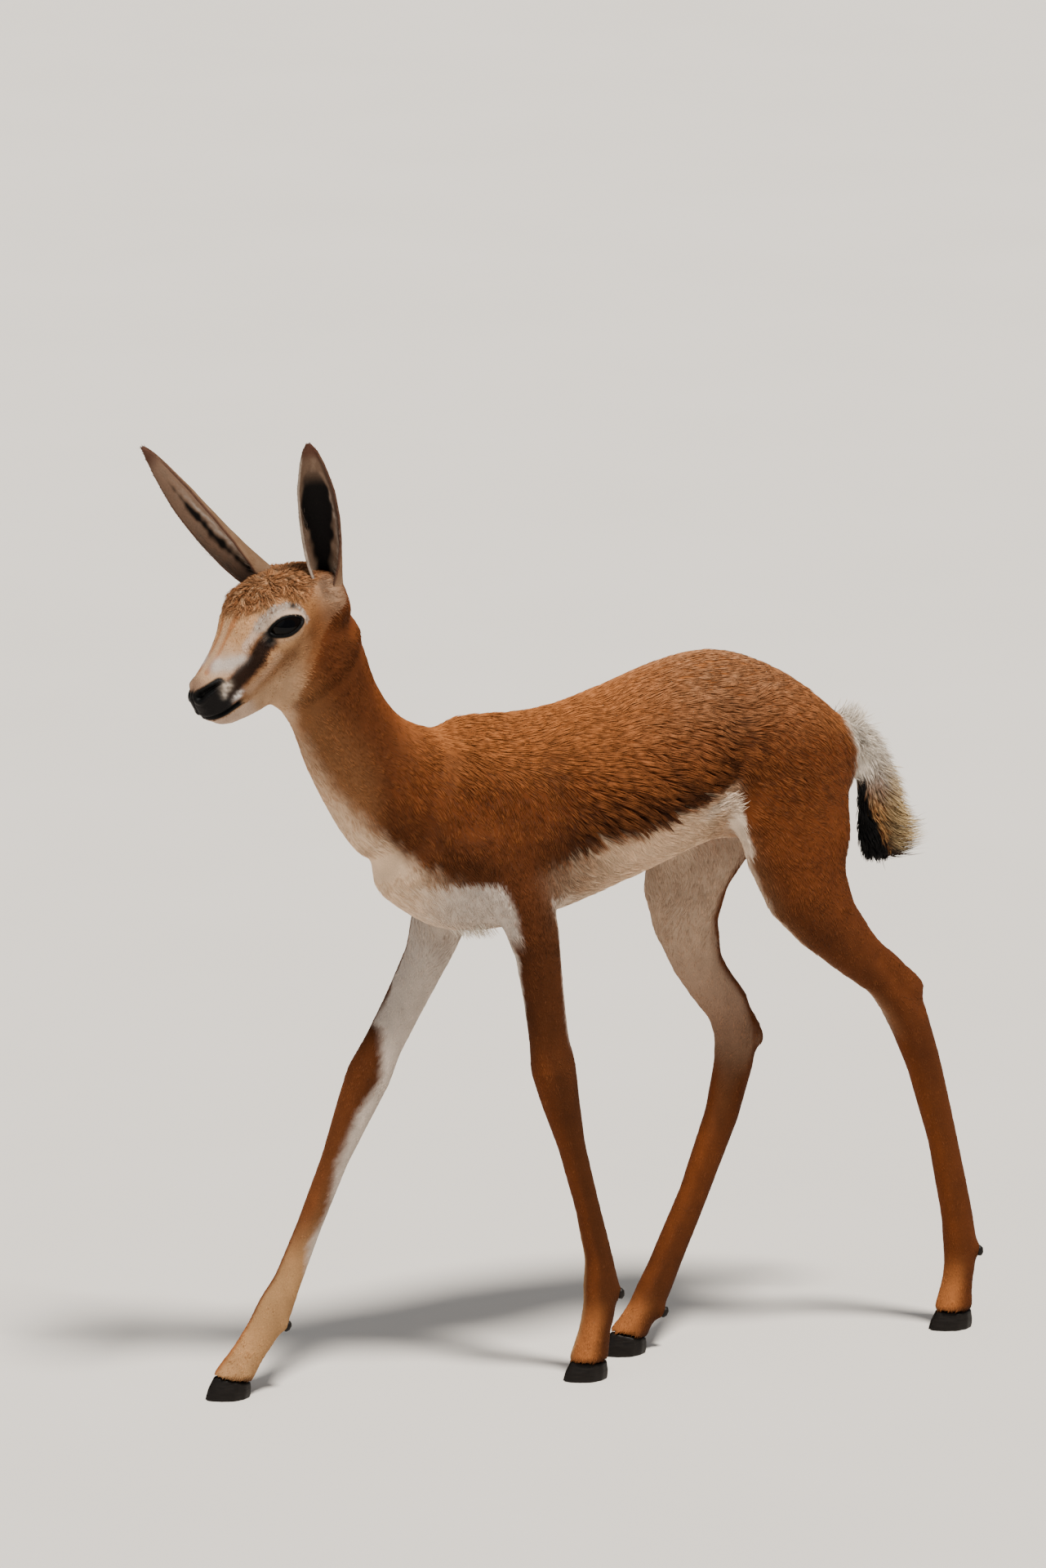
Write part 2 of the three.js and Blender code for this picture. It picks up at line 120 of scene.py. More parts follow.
# %% Camera
CAMERA_TURN = math.radians(25)
CAMERA_RISE = math.radians(14)
CAMERA_DISTANCE = 8.0
CAMERA_AIM = place(72, 0, 474.3)
VIEW_HEIGHT = 1.2
SENSOR = 36.0


def look_from(turn, rise):
    return np.array([-math.sin(turn) * math.cos(rise), -math.cos(turn) * math.cos(rise), math.sin(rise)])


def face_along(obj, back):
    right = np.cross([0, 0, 1], back)
    right /= np.linalg.norm(right)
    up = np.cross(back, right)
    matrix = np.array([right, up, back]).T
    quarter = [[*row, 0] for row in matrix.tolist()] + [[0, 0, 0, 1]]
    obj.rotation_euler = Matrix(quarter).to_euler()


bpy.ops.object.select_all(action="DESELECT")
bpy.ops.object.camera_add()
camera = bpy.context.object
camera.name = "photo_view"
camera.data.sensor_width = SENSOR
camera.data.lens = SENSOR * CAMERA_DISTANCE / VIEW_HEIGHT
back = look_from(CAMERA_TURN, CAMERA_RISE)
camera.location = CAMERA_AIM + CAMERA_DISTANCE * back
face_along(camera, back)
camera.data.clip_end = 50
bpy.context.scene.camera = camera
print("camera at", [round(v, 2) for v in camera.location])

# %% Light and floor
STUDIO_LIGHT = {"Color": (0.86, 0.88, 0.9, 1), "Strength": 0.32}
FLOOR_SIZE = 90


def add_sun(name, turn, rise, strength, size, colour):
    bpy.ops.object.light_add(type="SUN")
    sun = bpy.context.object
    sun.name = name
    sun.data.energy = strength
    sun.data.angle = math.radians(size)
    sun.data.color = colour
    face_along(sun, look_from(math.radians(turn), math.radians(rise)))


add_sun("key", turn=-8, rise=68, strength=6.4, size=10, colour=(1.0, 0.95, 0.88))
add_sun("fill", turn=70, rise=35, strength=0.35, size=60, colour=(0.9, 0.95, 1.0))

world = bpy.data.worlds.new("studio")
bpy.context.scene.world = world
world.use_nodes = True
for socket, value in STUDIO_LIGHT.items():
    world.node_tree.nodes["Background"].inputs[socket].default_value = value

bpy.ops.object.select_all(action="DESELECT")
bpy.ops.mesh.primitive_plane_add(size=FLOOR_SIZE, location=(0, 0, 0))
floor = bpy.context.object
floor.name = "floor"
print("suns, world and floor ready")

# %% [markdown]
# ## One skin
# The lamb's flesh has no seams, so the parted solids are copied, grown by less than a millimetre until they
# touch, and remeshed together. Small even faces follow, which rounds of smoothing turn into soft flesh.
# Smoothing alone would thin the legs, so what it takes away is measured, smoothed and given back.

# %% Flesh of the whole body
LIMBS = ["arm", "thigh", "forearm", "gaskin", "fore_cannon", "hind_cannon", "fore_pastern", "hind_pastern"]
SIDES = {"left": 1, "right": -1}
FLESH = ["head", "neck", "trunk", "tail"] + [f"{side}_{limb}" for side in SIDES for limb in LIMBS]
EYES = ["left_eye", "right_eye"]
SAME_PLACE = 0.02 * MM
GROW = 0.4 * MM
SKIN_GRID = 3.2 * MM


def only(obj):
    bpy.ops.object.select_all(action="DESELECT")
    obj.select_set(True)
    bpy.context.view_layer.objects.active = obj


def edit(obj, operator, **settings):
    """Runs one edit-mode operator on the whole mesh."""
    only(obj)
    bpy.ops.object.mode_set(mode="EDIT")
    bpy.ops.mesh.select_all(action="SELECT")
    operator(**settings)
    bpy.ops.object.mode_set(mode="OBJECT")


def apply_modifier(obj, kind, **settings):
    modifier = obj.modifiers.new(kind, kind)
    for key, value in settings.items():
        setattr(modifier, key, value)
    only(obj)
    bpy.ops.object.modifier_apply(modifier=modifier.name)


def join(first, others):
    only(first)
    for piece in others:
        piece.select_set(True)
    bpy.ops.object.join()


def copy_of(node, name):
    piece = nodes[node].copy()
    piece.data = nodes[node].data.copy()
    piece.parent = None
    piece.name = name
    for key in list(piece.keys()):
        del piece[key]
    bpy.context.scene.collection.objects.link(piece)
    edit(piece, bpy.ops.mesh.remove_doubles, threshold=SAME_PLACE)
    return piece


def joined_copies(names, name, grow):
    copies = [copy_of(node, f"{name}_{node}") for node in names]
    for piece in copies:
        edit(piece, bpy.ops.transform.shrink_fatten, value=grow)
    join(copies[0], copies[1:])
    copies[0].name = name
    copies[0].data.name = name
    return copies[0]


# %% Ear lines
EARS = {
    "left": {"base": (235, 10, 633), "tip": (268, 40, 766), "faces": (0.62, 0.78, -0.1), "bow": 2,
             "seat": (-40, 5, -10)},
    "right": {"base": (253, -17, 636), "tip": (355, -74, 749), "faces": (0.8, 0.4, -0.25), "bow": -12,
              "seat": (-36, -6, -8)},
}
EAR_ROOT_TOP = 19
EAR_ROOT_GIRTH = [(0, 12), (0.5, 15.5), (1, 16), (1.5, 15.5), (2, 13.5)]
EAR_CUP_FOOT = (36, 165)
DEWCLAW_MOUND = {"radius": 6.6, "inward": 4.2, "above": 1.5}


def ear_lines(side):
    """Start, axis, length in millimetres and the direction that the cup opens to."""
    ear = EARS[side]
    start = place(*ear["base"])
    run = (place(*ear["tip"]) - start) / MM
    length = np.linalg.norm(run)
    axis = run / length
    opening = heading(*ear["faces"])
    opening = opening - axis * (opening @ axis)
    return start, axis, length, opening / np.linalg.norm(opening)


def ear_root_balls():
    """Round swellings where each ear grows from the head, so that its foot has something to sink into."""
    half, angle = EAR_CUP_FOOT
    for side in EARS:
        start, axis, length, opening = ear_lines(side)
        foot = start + opening * 0.4 * half / math.radians(angle) * MM
        stops = [from_head(EARS[side]["seat"]), foot, foot + axis * EAR_ROOT_TOP * MM]
        for along, girth in EAR_ROOT_GIRTH:
            first = min(int(along), 1)
            yield stops[first] + (stops[first + 1] - stops[first]) * (along - first), girth


def dewclaw_balls():
    """Small swellings behind each pastern, in which the dewclaws sit."""
    above = np.array([0, 0, DEWCLAW_MOUND["above"] * MM])
    for name in [name for name in nodes if "dewclaw" in name]:
        side, end = name.split("_")[:2]
        centre = node_middle(name)
        inward = node_middle(f"{side}_{end}_pastern") - centre
        inward[2] = 0
        inward /= np.linalg.norm(inward)
        yield centre + inward * DEWCLAW_MOUND["inward"] * MM + above, DEWCLAW_MOUND["radius"]


def swell(body, balls):
    swellings = []
    for centre, radius in balls:
        bpy.ops.object.select_all(action="DESELECT")
        bpy.ops.mesh.primitive_ico_sphere_add(subdivisions=3, radius=radius * MM, location=centre)
        bpy.ops.object.transform_apply(location=True, rotation=False, scale=False)
        swellings.append(bpy.context.object)
    join(body, swellings)


# %% The joined skin
skin = joined_copies(FLESH + EYES, "skin", GROW)
swell(skin, ear_root_balls())
swell(skin, dewclaw_balls())
apply_modifier(skin, "REMESH", mode="VOXEL", voxel_size=SKIN_GRID)
print("skin faces:", len(skin.data.polygons))


# %% Smoothing that keeps the girth
SMOOTH_ROUNDS = 34
SMOOTH_SHARE = {"leg": 0.16, "trunk": 0.34, "less on the head": 0.6}


def read(things, key, columns, kind=float):
    """A property of many vertices, edges or faces, one row for each."""
    flat = np.empty(len(things) * columns, dtype=kind)
    things.foreach_get(key, flat)
    return flat.reshape(-1, columns)


def points_of(obj):
    return read(obj.data.vertices, "co", 3)


def normals_of(obj):
    return read(obj.data.vertices, "normal", 3)


def edges_of(obj):
    return read(obj.data.edges, "vertices", 2, np.int32)


def set_points(obj, points):
    obj.data.vertices.foreach_set("co", np.ascontiguousarray(points, dtype=np.float32).ravel())
    obj.data.update()


def spread(values, edges, rounds, share):
    """Each vertex's values drawn towards the mean of its neighbours, again and again."""
    count = len(values)
    ends = np.concatenate([edges[:, 0], edges[:, 1]])
    others = np.concatenate([edges[:, 1], edges[:, 0]])
    degree = np.maximum(np.bincount(ends, minlength=count), 1)
    for _ in range(rounds):
        mean = [np.bincount(ends, values[others, k], count) / degree for k in range(values.shape[1])]
        values = values + (np.stack(mean, 1) - values) * share
    return values


def smoothed(points, edges, rounds, share, passes=3):
    result = spread(points, edges, rounds, share)
    for _ in range(passes - 1):
        result = result + spread(points - result, edges, rounds, share)
    return result


def step(low, high, value):
    """0 at low, 1 at high and a soft rise between them."""
    t = np.clip((value - low) / (high - low), 0, 1)
    return t * t * (3 - 2 * t)


def trunk_share(points):
    return step(0.34, 0.42, points[:, 2])


def head_share(points):
    f, s, g = on_head(points).T
    return step(-74, -50, f) * step(-68, -56, g)


skin_points = points_of(skin)
share = SMOOTH_SHARE["leg"] + SMOOTH_SHARE["trunk"] * trunk_share(skin_points)
share = share * (1 - SMOOTH_SHARE["less on the head"] * head_share(skin_points))
skin_points = smoothed(skin_points, edges_of(skin), SMOOTH_ROUNDS, share[:, None])
set_points(skin, skin_points)
print("skin smoothed")


# %% Room for the coat
def coat_depth(points):
    f, s, g = on_head(points).T
    crown = step(12, 26, g) * step(30, 0, f)
    head = head_share(points)
    body = 0.8 + 1.9 * trunk_share(points)
    return (body * (1 - head) + (0.9 + 1.0 * crown) * head) * MM


skin_points = skin_points - normals_of(skin) * coat_depth(skin_points)[:, None]
set_points(skin, skin_points)
print("room for the coat, mm:", round(coat_depth(skin_points).mean() / MM, 2))

# %% [markdown]
# ## Muscles and folds
# Under a lamb's short coat the shoulder blade, the upper arm and the haunch stand out, with hollows between
# them. Each is a line or a spot on the side of the body, along which the skin rises or sinks by a few
# millimetres, fading to nothing on both sides.

# %% Muscles and folds
FORMS = [
    (-1.5, 13, [(146, 29, 507), (153, 34, 494), (160, 36, 482), (165, 38, 467), (163, 38, 447)]),
    (1.7, 13, [(134, 27, 512), (143, 34, 496), (150, 39, 475), (150, 42, 454), (140, 46, 434)]),
    (-1.3, 14, [(126, 47, 464), (122, 48, 458)]),
    (1.5, 13, [(131, 50, 436), (122, 50, 430)]),
    (-2.2, 17, [(74, 40, 499), (68, 50, 476), (55, 54, 462), (49, 56, 444), (56, 51, 420)]),
    (-2.2, 16, [(-88, 46, 520), (-87, 50, 500), (-86, 51, 476), (-92, 47, 458)]),
    (1.6, 22, [(-125, 50, 478), (-140, 50, 462)]),
    (-1.2, 10, [(-168, 48, 440), (-164, 50, 400), (-172, 50, 370)]),
]
HOCK_HOLLOW = (-1.8, 5.5, [(-212, 48, 316), (-233, 48, 289), (-250, 45, 271)])


def along_line(places, start, end):
    """How far along a line each place lies, from 0 to 1, and its distance from the line."""
    start = np.array(start, dtype=float)
    run = np.array(end, dtype=float) - start
    share = np.clip((places - start) @ run / (run @ run), 0, 1)
    return share, np.linalg.norm(places - start - share[:, None] * run, axis=1)


def line_distance(places, stops):
    """The shortest distance from each place to a line through the stops."""
    nearest = np.full(len(places), 1e9)
    for start, end in zip(stops[:-1], stops[1:]):
        nearest = np.minimum(nearest, along_line(places, start, end)[1])
    return nearest


def raised(places, forms):
    """How far, in millimetres, the skin rises at each body place."""
    total = np.zeros(len(places))
    for height, half_width, line in forms:
        total += height * np.exp(-(line_distance(places, line) / half_width) ** 2)
    return total


def both_sides(places):
    """The places with those of the right side moved to the left."""
    return places * [1, 0, 1] + np.abs(places[:, 1:2]) * [0, 1, 0]


places = body_places(points_of(skin))
rise = raised(places, [HOCK_HOLLOW]) + raised(both_sides(places), FORMS)
set_points(skin, points_of(skin) + normals_of(skin) * (rise * MM)[:, None])
print("deepest hollow, mm:", round(-rise.min(), 1))

# %% [markdown]
# ## The face
# A face needs finer faces than a flank, so the head's are divided once more, and those round the eyes, the
# nose and the mouth twice. The lids, nostrils and lips are then pressed and raised in the head's own axes,
# as a sculptor would with a thumb, the same on both sides.

# %% Finer faces on the head
FACE_ROUNDS = 6
FACE_SMOOTH = 0.4


def refine(obj, wanted):
    """Cuts each wanted face into four."""
    only(obj)
    bpy.ops.object.mode_set(mode="EDIT")
    bpy.ops.mesh.select_all(action="DESELECT")
    bpy.ops.object.mode_set(mode="OBJECT")
    obj.data.polygons.foreach_set("select", wanted(read(obj.data.polygons, "center", 3)))
    bpy.ops.object.mode_set(mode="EDIT")
    bpy.ops.mesh.select_mode(type="FACE")
    bpy.ops.mesh.subdivide(number_cuts=1, smoothness=0)
    bpy.ops.object.mode_set(mode="OBJECT")
    print("faces:", len(obj.data.polygons))


def eye_distance(points):
    """Millimetres from the middle of the nearer eye."""
    return np.linalg.norm(both_sides(on_head(points)) - EYE_CENTRE, axis=1)


def fine_face(points):
    f, s, g = on_head(points).T
    near_eye = (eye_distance(points) < 25) & (np.abs(s) > 18)
    return near_eye | ((f > 50) & (g > -62))


refine(skin, lambda points: head_share(points) > 0.5)
refine(skin, fine_face)
face = points_of(skin)
face = smoothed(face, edges_of(skin), FACE_ROUNDS, FACE_SMOOTH * head_share(face)[:, None])
set_points(skin, face)

# %% Eye sockets and lids
EYEBALL = 14.9
EYE_OUT = np.array([0.24, 0.84, 0.48])
EYE_AHEAD = np.array([23.7, -12.3, 6.1])
LID = {"half_length": 11.8, "upper": 5.8, "lower": 5.3, "thick": 1.3, "reach": 11.0, "sunk": 4.5}
LID_CREASE = {"deep": 0.9, "away": 4.2, "wide": 1.1}
LID_ROUNDS = 10
LEVEL_LIMIT = math.radians(58)


def unit(vector):
    return vector / np.linalg.norm(vector, axis=-1, keepdims=True)


def eye_frame(side):
    """The directions out of the eye, forward along its opening and upward across it."""
    outward = unit(EYE_OUT * [1, side, 1])
    forward = EYE_AHEAD * [1, side, 1]
    forward = unit(forward - outward * (forward @ outward))
    return outward, forward, unit(np.cross(outward, forward) * side)


def opening_shape(x, y):
    """Distance in millimetres outside the almond between the lids, less than nothing inside it."""
    height = np.where(y > 0, LID["upper"], LID["lower"])
    share = (np.abs(x / LID["half_length"]) ** 1.7 + np.abs(y / height) ** 1.9) ** (1 / 1.8)
    reach = np.hypot(x, y) + 1e-6
    return reach - reach / np.maximum(share, 1e-6)


def on_eye(places, side):
    """Along and across the opening, the distance outside it, and how far a place faces outwards."""
    outward, forward, upward = eye_frame(side)
    direction = unit(places - EYE_CENTRE * [1, side, 1])
    facing = direction @ outward
    angle = np.arccos(np.clip(facing, -1, 1))
    beyond = np.maximum(angle - LEVEL_LIMIT, 0)
    level = (np.sin(np.minimum(angle, LEVEL_LIMIT)) + beyond) / np.maximum(np.sin(angle), 1e-3)
    x = direction @ forward * EYEBALL * level
    y = direction @ upward * EYEBALL * level
    return x, y, opening_shape(x, y), facing


def shape_lids(places, side):
    """Lifts the skin into two lids round the almond, and sinks what is inside it below the eyeball."""
    outward = eye_frame(side)[0]
    centre = EYE_CENTRE * [1, side, 1]
    offset = places - centre
    x, y, away, facing = on_eye(places, side)
    touched = (facing > 0.1) & (np.linalg.norm(offset, axis=1) < 30) & (away < LID["reach"] + 6)
    at_the_rim = touched & (np.abs(away) < 0.9)
    level = (offset @ outward)[:, None] * outward
    scale = 1 - away / (LID["half_length"] * 0.8)
    offset = np.where(at_the_rim[:, None], (offset - level) * scale[:, None] + level, offset)
    radius = np.linalg.norm(offset, axis=1)
    hidden = EYEBALL - LID["sunk"]
    rim = EYEBALL + LID["thick"] + np.where(y > 0, 0.5, 0.0)
    wanted = hidden + (rim - hidden) * step(-0.7, 0.35, away)
    crease = np.exp(-((away - LID_CREASE["away"]) / LID_CREASE["wide"]) ** 2) * step(0, 3, y)
    wanted = wanted - LID_CREASE["deep"] * crease
    firm = step(LID["reach"], 1.2, away)
    new_radius = radius * (1 - firm) + wanted * firm
    return np.where(touched[:, None], centre + unit(offset) * new_radius[:, None], places)


places = on_head(points_of(skin))
skin_edges = edges_of(skin)
for side in SIDES.values():
    places = shape_lids(places, side)
    _, _, away, facing = on_eye(places, side)
    near = (eye_distance(from_head(places)) < 32) & (facing > 0)
    band = near * step(1.2, 3.0, away) * step(17, 12, away)
    places = spread(places, skin_edges, LID_ROUNDS, 0.5 * band[:, None])
set_points(skin, from_head(places))
print("lids shaped")


# %% Nostrils, lips and mouth
NOSTRIL = {"back": [61.5, 14.6, 0.6], "front": [78.5, 7.4, 2.8], "half_height": 3.4, "depth": 4.6}
MOUTH_LINE = [(50, -24.0), (57, -22.0), (73, -19.0), (82, -17.0), (86, -15.5)]


def ridge(value, width):
    return np.exp(-((value / width) ** 2))


def at(value, stops):
    """How high a line through the stops lies at each value."""
    return np.interp(value, *np.array(stops, dtype=float).T)


places = on_head(points_of(skin))
normals = normals_of(skin) @ head_axes.T
share, distance = along_line(both_sides(places), NOSTRIL["back"], NOSTRIL["front"])
opened = 0.35 + 0.65 * share
half = NOSTRIL["half_height"] * opened
hole = step(half * 1.25, half * 0.45, distance) * NOSTRIL["depth"] * opened
wing = ridge(distance - half * 1.7, 1.4) * 0.9
f, s, g = places.T
above_mouth = g - at(f, MOUTH_LINE)
mouth_reach = step(52, 60, f)
groove = ridge(above_mouth, 1.2) * 2.0 * mouth_reach
lip = ridge(above_mouth - 3.2, 2.2) * 0.8 * mouth_reach + ridge(above_mouth + 3.0, 1.8) * 0.4 * mouth_reach
philtrum = ridge(s, 0.9) * step(76, 82, f) * step(2, 0, g)
places = places + normals * (wing + lip - hole - groove - philtrum)[:, None]
set_points(skin, from_head(places))
only(skin)
bpy.ops.object.shade_smooth()
print("nose and mouth shaped")

# %% [markdown]
# ## Ears
# An ear is a thin leaf rolled round its own long axis: nearly a tube at its foot, then an open cup that
# flattens to a blunt tip. A flat grid is the same leaf unrolled, so it is bent by a formula over its rows and
# columns, then given its thickness. Its inside takes a dark skin and its outside the coat.

# %% Ear leaves
EAR_CUP = [
    (0, 36, 168), (0.12, 34, 160), (0.19, 31, 140), (0.27, 28, 114), (0.4, 25, 88), (0.54, 23, 74),
    (0.7, 20, 66), (0.86, 13, 58), (0.94, 8, 50), (1, 2.5, 40),
]
EAR_SHEET = {"rows": 57, "columns": 33, "thick": 2.2, "inset": 0.7}


def ear_height(row):
    """How far up the ear a row of the leaf lies, with the rows closer together near the tip."""
    return 0.02 + 0.98 * (1 - (1 - row) ** 1.15)


def ear_section(side, along):
    """The cup's radius and half angle, and how far its back sways from the ear's axis."""
    stops, half, degrees = np.array(EAR_CUP).T
    roll = np.radians(np.interp(along, stops, degrees))
    radius = np.interp(along, stops, half) / roll
    return radius, roll, -0.6 * radius - EARS[side]["bow"] * np.sin(np.pi * along)


def ear_point(side, along, share):
    """Where the unrolled leaf's place lands: along from foot to tip, share from one edge to the other."""
    start, axis, length, opening = ear_lines(side)
    across = np.cross(opening, axis)
    radius, roll, sway = ear_section(side, along)
    reach = radius - EAR_SHEET["inset"]
    turn = roll * share
    out = (reach * np.sin(turn))[:, None] * across
    back = (radius - reach * np.cos(turn) + sway)[:, None] * opening
    return start + ((along * length)[:, None] * axis + out + back) * MM


def make_ear(side):
    bpy.ops.object.select_all(action="DESELECT")
    rows, columns = EAR_SHEET["rows"], EAR_SHEET["columns"]
    bpy.ops.mesh.primitive_grid_add(x_subdivisions=columns, y_subdivisions=rows, size=2)
    ear = bpy.context.object
    ear.name = f"{side}_ear_leaf"
    ear.data.name = ear.name
    flat = points_of(ear)
    set_points(ear, ear_point(side, ear_height((flat[:, 1] + 1) / 2), flat[:, 0]))
    middle = Vector(ear_point(side, np.array([0.5]), np.array([0.0]))[0])
    centre_face = min(ear.data.polygons, key=lambda face: (face.center - middle).length)
    opening = ear_lines(side)[3]
    if np.array(centre_face.normal) @ opening > 0:
        edit(ear, bpy.ops.mesh.flip_normals)
    apply_modifier(ear, "SOLIDIFY", thickness=EAR_SHEET["thick"] * MM, offset=-1, material_offset=1)
    apply_modifier(ear, "SUBSURF", levels=1, render_levels=1)
    only(ear)
    bpy.ops.object.shade_smooth()
    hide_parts(f"{side}_ear")
    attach(ear, "root")
    print(ear.name, "faces:", len(ear.data.polygons))
    return ear


ears = {side: make_ear(side) for side in EARS}

# %% [markdown]
# ## Eyes
# A lamb's eye is nearly black: a dark brown iris round a wide level pupil, under a wet bulging cornea that
# carries the bright reflections. One smooth ball that bulges a little in front is enough, because its colour
# is so dark that only the shine on it is seen.

# %% Eyeballs
CORNEA_BULGE = 0.022


def make_eye(side, sign):
    outward, forward, upward = eye_frame(sign)
    axes = np.array([forward, upward, outward]) @ head_axes
    if np.linalg.det(axes) < 0:
        axes[0] = -axes[0]
    centre = from_head(EYE_CENTRE * [1, sign, 1])
    bpy.ops.object.select_all(action="DESELECT")
    bpy.ops.mesh.primitive_uv_sphere_add(segments=64, ring_count=40, radius=EYEBALL * MM)
    ball = bpy.context.object
    ball.name = f"{side}_eyeball"
    ball.data.name = ball.name
    local = points_of(ball)
    bulge = 1 + CORNEA_BULGE * step(0.72, 1.0, local[:, 2] / (EYEBALL * MM))
    set_points(ball, centre + (local * bulge[:, None]) @ axes)
    only(ball)
    bpy.ops.object.shade_smooth()
    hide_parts(f"{side}_eye")
    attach(ball, "root")
    return ball


eyes = {side: make_eye(side, sign) for side, sign in SIDES.items()}
print("eyes:", list(eyes))

# %% [markdown]
# ## Hooves
# Each foot is two black claws with two small dewclaws behind them. Their solids are right in size but have
# flat facets, so each is copied, remeshed finely and smoothed into worn horn. The soles stay on the floor.

# %% Claws
CLAW_GRID = {"hoof": 0.9, "dewclaw": 0.55}
CLAW_ROUNDS = {"hoof": 16, "dewclaw": 8}
CLAW_NODES = [
    (f"{side}_{end}_{kind}_{half}", kind)
    for side in SIDES
    for end in ("fore", "hind")
    for kind in CLAW_GRID
    for half in SIDES
]


def make_claw(node, kind):
    claw = copy_of(node, f"{node}_horn")
    claw.data.name = claw.name
    floor_level = points_of(claw)[:, 2].min()
    apply_modifier(claw, "REMESH", mode="VOXEL", voxel_size=CLAW_GRID[kind] * MM)
    points = smoothed(points_of(claw), edges_of(claw), CLAW_ROUNDS[kind], 0.5)
    if kind == "hoof":
        points[:, 2] = np.maximum(points[:, 2], floor_level)
    set_points(claw, points)
    only(claw)
    bpy.ops.object.shade_smooth()
    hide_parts(node)
    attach(claw, "root")
    return claw


claws = [make_claw(node, kind) for node, kind in CLAW_NODES]
print("claws:", len(claws), "faces each:", len(claws[0].data.polygons))

# %% [markdown]
# ## Which part of the body is where
# The coat's colour, length and lie depend on the part it grows on. Every point of the skin takes the name of
# the nearest solid, and these shares are then blurred over the skin, so that one part fades into the next.

# %% Shares of the body's parts
KIND = ["head", "neck", "trunk", "tail", "arm", "forearm", "fore_cannon", "fore_pastern", "thigh", "gaskin",
        "hind_cannon", "hind_pastern"]
BLUR_ROUNDS = 26
WIDE_BLUR_ROUNDS = 110


def part_shares(body):
    """One column for each kind of part, then one that is 1 on the left and -1 on the right."""
    tree = KDTree(sum(len(nodes[name].data.vertices) for name in FLESH))
    owner = []
    for number, name in enumerate(FLESH):
        for vertex in nodes[name].data.vertices:
            tree.insert(vertex.co, len(owner))
            owner.append(number)
    tree.balance()
    points = points_of(body)
    nearest = np.array([owner[tree.find(point)[1]] for point in points])
    kinds = np.array([KIND.index(re.sub("^(left|right)_", "", name)) for name in FLESH])
    sides = np.array([name.startswith("left") * 1 - name.startswith("right") * 1 for name in FLESH])
    shares = np.zeros((len(points), len(KIND) + 1))
    shares[np.arange(len(points)), kinds[nearest]] = 1
    shares[:, -1] = sides[nearest]
    return shares


def by_kind(shares):
    return dict(zip(KIND, shares[:, :-1].T))


skin_shares = spread(part_shares(skin), edges_of(skin), BLUR_ROUNDS, 0.5)
wide_shares = spread(skin_shares, edges_of(skin), WIDE_BLUR_ROUNDS, 0.5)
ahead, _, up = body_places(points_of(skin)).T
widen = step(330, 380, up) * (1 - head_share(points_of(skin))) * step(-190, -170, ahead)
skin_shares = skin_shares + (wide_shares - skin_shares) * widen[:, None]
print("shares:", {kind: round(share.mean(), 3) for kind, share in by_kind(skin_shares).items()})


# %% Softly varying numbers
WAVES = 9


def ripples(points, size, seed):
    """Smooth random hills and hollows, about as wide as the size in millimetres, from about -1 to 1."""
    dice = np.random.default_rng(seed)
    waves = dice.normal(size=(WAVES, 3))
    waves = unit(waves) * (2 * math.pi / (size * MM)) * dice.uniform(0.6, 1.5, (WAVES, 1))
    phases = dice.uniform(0, 2 * math.pi, WAVES)
    return np.sin(points @ waves.T + phases).sum(1) / 3.6


def mix(first, second, share):
    """Rows that go from the first to the second as the share goes from 0 to 1."""
    share = share[:, None]
    return np.asarray(first) * (1 - share) + np.asarray(second) * share


def layered(colours, layers):
    """The colours under layers of paint, each with its share and its tone."""
    for share, tone in layers:
        colours = mix(colours, tone, np.clip(share, 0, 1))
    return colours


def spot(places, centre, radius):
    return np.exp(-(((places - np.array(centre, dtype=float)) / radius) ** 2).sum(1))


# %% [markdown]
# ## Markings
# A springbok lamb is cinnamon above and white below, with a darker band between them on the flank, white
# inner legs, a white rump, a fawn face with a dark stripe from eye to mouth, and a black muzzle. The markings
# are worked out from places on the body, once for the skin and again at the root of each tuft.

# %% Colours of the coat
RUST = np.array([0.15, 0.038, 0.0085])
TAN = np.array([0.49, 0.172, 0.048])
BROWN = np.array([0.062, 0.018, 0.0045])
UMBER = np.array([0.05, 0.016, 0.006])
FAWN = np.array([0.48, 0.27, 0.135])
# CREAM and WHITE carry a warm tint, partly the coat's own cream and partly painted warm bounce light.
CREAM = np.array([0.66, 0.45, 0.285])
WHITE = np.array([0.78, 0.69, 0.585])
BLACK = np.array([0.004, 0.003, 0.003])

# %% [markdown]
# The head is painted like a mask, one layer over another: first fawn with a darker back of the jaw, then the
# crown, the stripe and the brow, the rim of the eye, the black nose and mouth, and last a few pale spots.
# Lines of the face are given as stops in the head's axes, and a layer fades with the distance from its line.

# %% Lines of the face
JAW_BACK = [(-67.4, 29.7), (-52.9, 17), (-39.4, 6.5), (-25, -4.5), (-6.6, -11.8), (12, -17)]
CROWN_EDGE = [(-29, 2.5), (-25.7, 11.7), (-18, 18.6), (-7, 20.7), (4.5, 24.3), (11.7, 25.4), (17, 25)]
FACE_STRIPE = [(14, 24.0, -0.5), (19.8, 24.3, 0.3), (31.2, 23.4, -4), (43.7, 19.7, -6.2), (55.1, 17.6, -8.4),
               (61, 16.6, -12.5)]
BRIDGE_LINE = [(14, 8.5, 24), (24, 5.6, 20.6), (33.6, 3.8, 16.3), (49.5, 4.2, 11.6), (60, 4.5, 8.5)]
PALE_CHEEK = [(16, 28.4, -13), (30, 25, -17.5), (48, 19, -20)]
BROW = [(10, 21, 12.2), (0.3, 22.6, 13.2), (-5.8, 26.2, 14), (-15, 29, 11.4), (-20.3, 30, 2.6),
        (-18.3, 32, -8)]
BROW_WIDTH = [(-19, 3.6), (-8, 5.4), (2, 6.0)]
GREY_STREAK = [(3, 20.4, 13.8), (16.8, 21.5, 11), (28.2, 19.9, 8.2)]
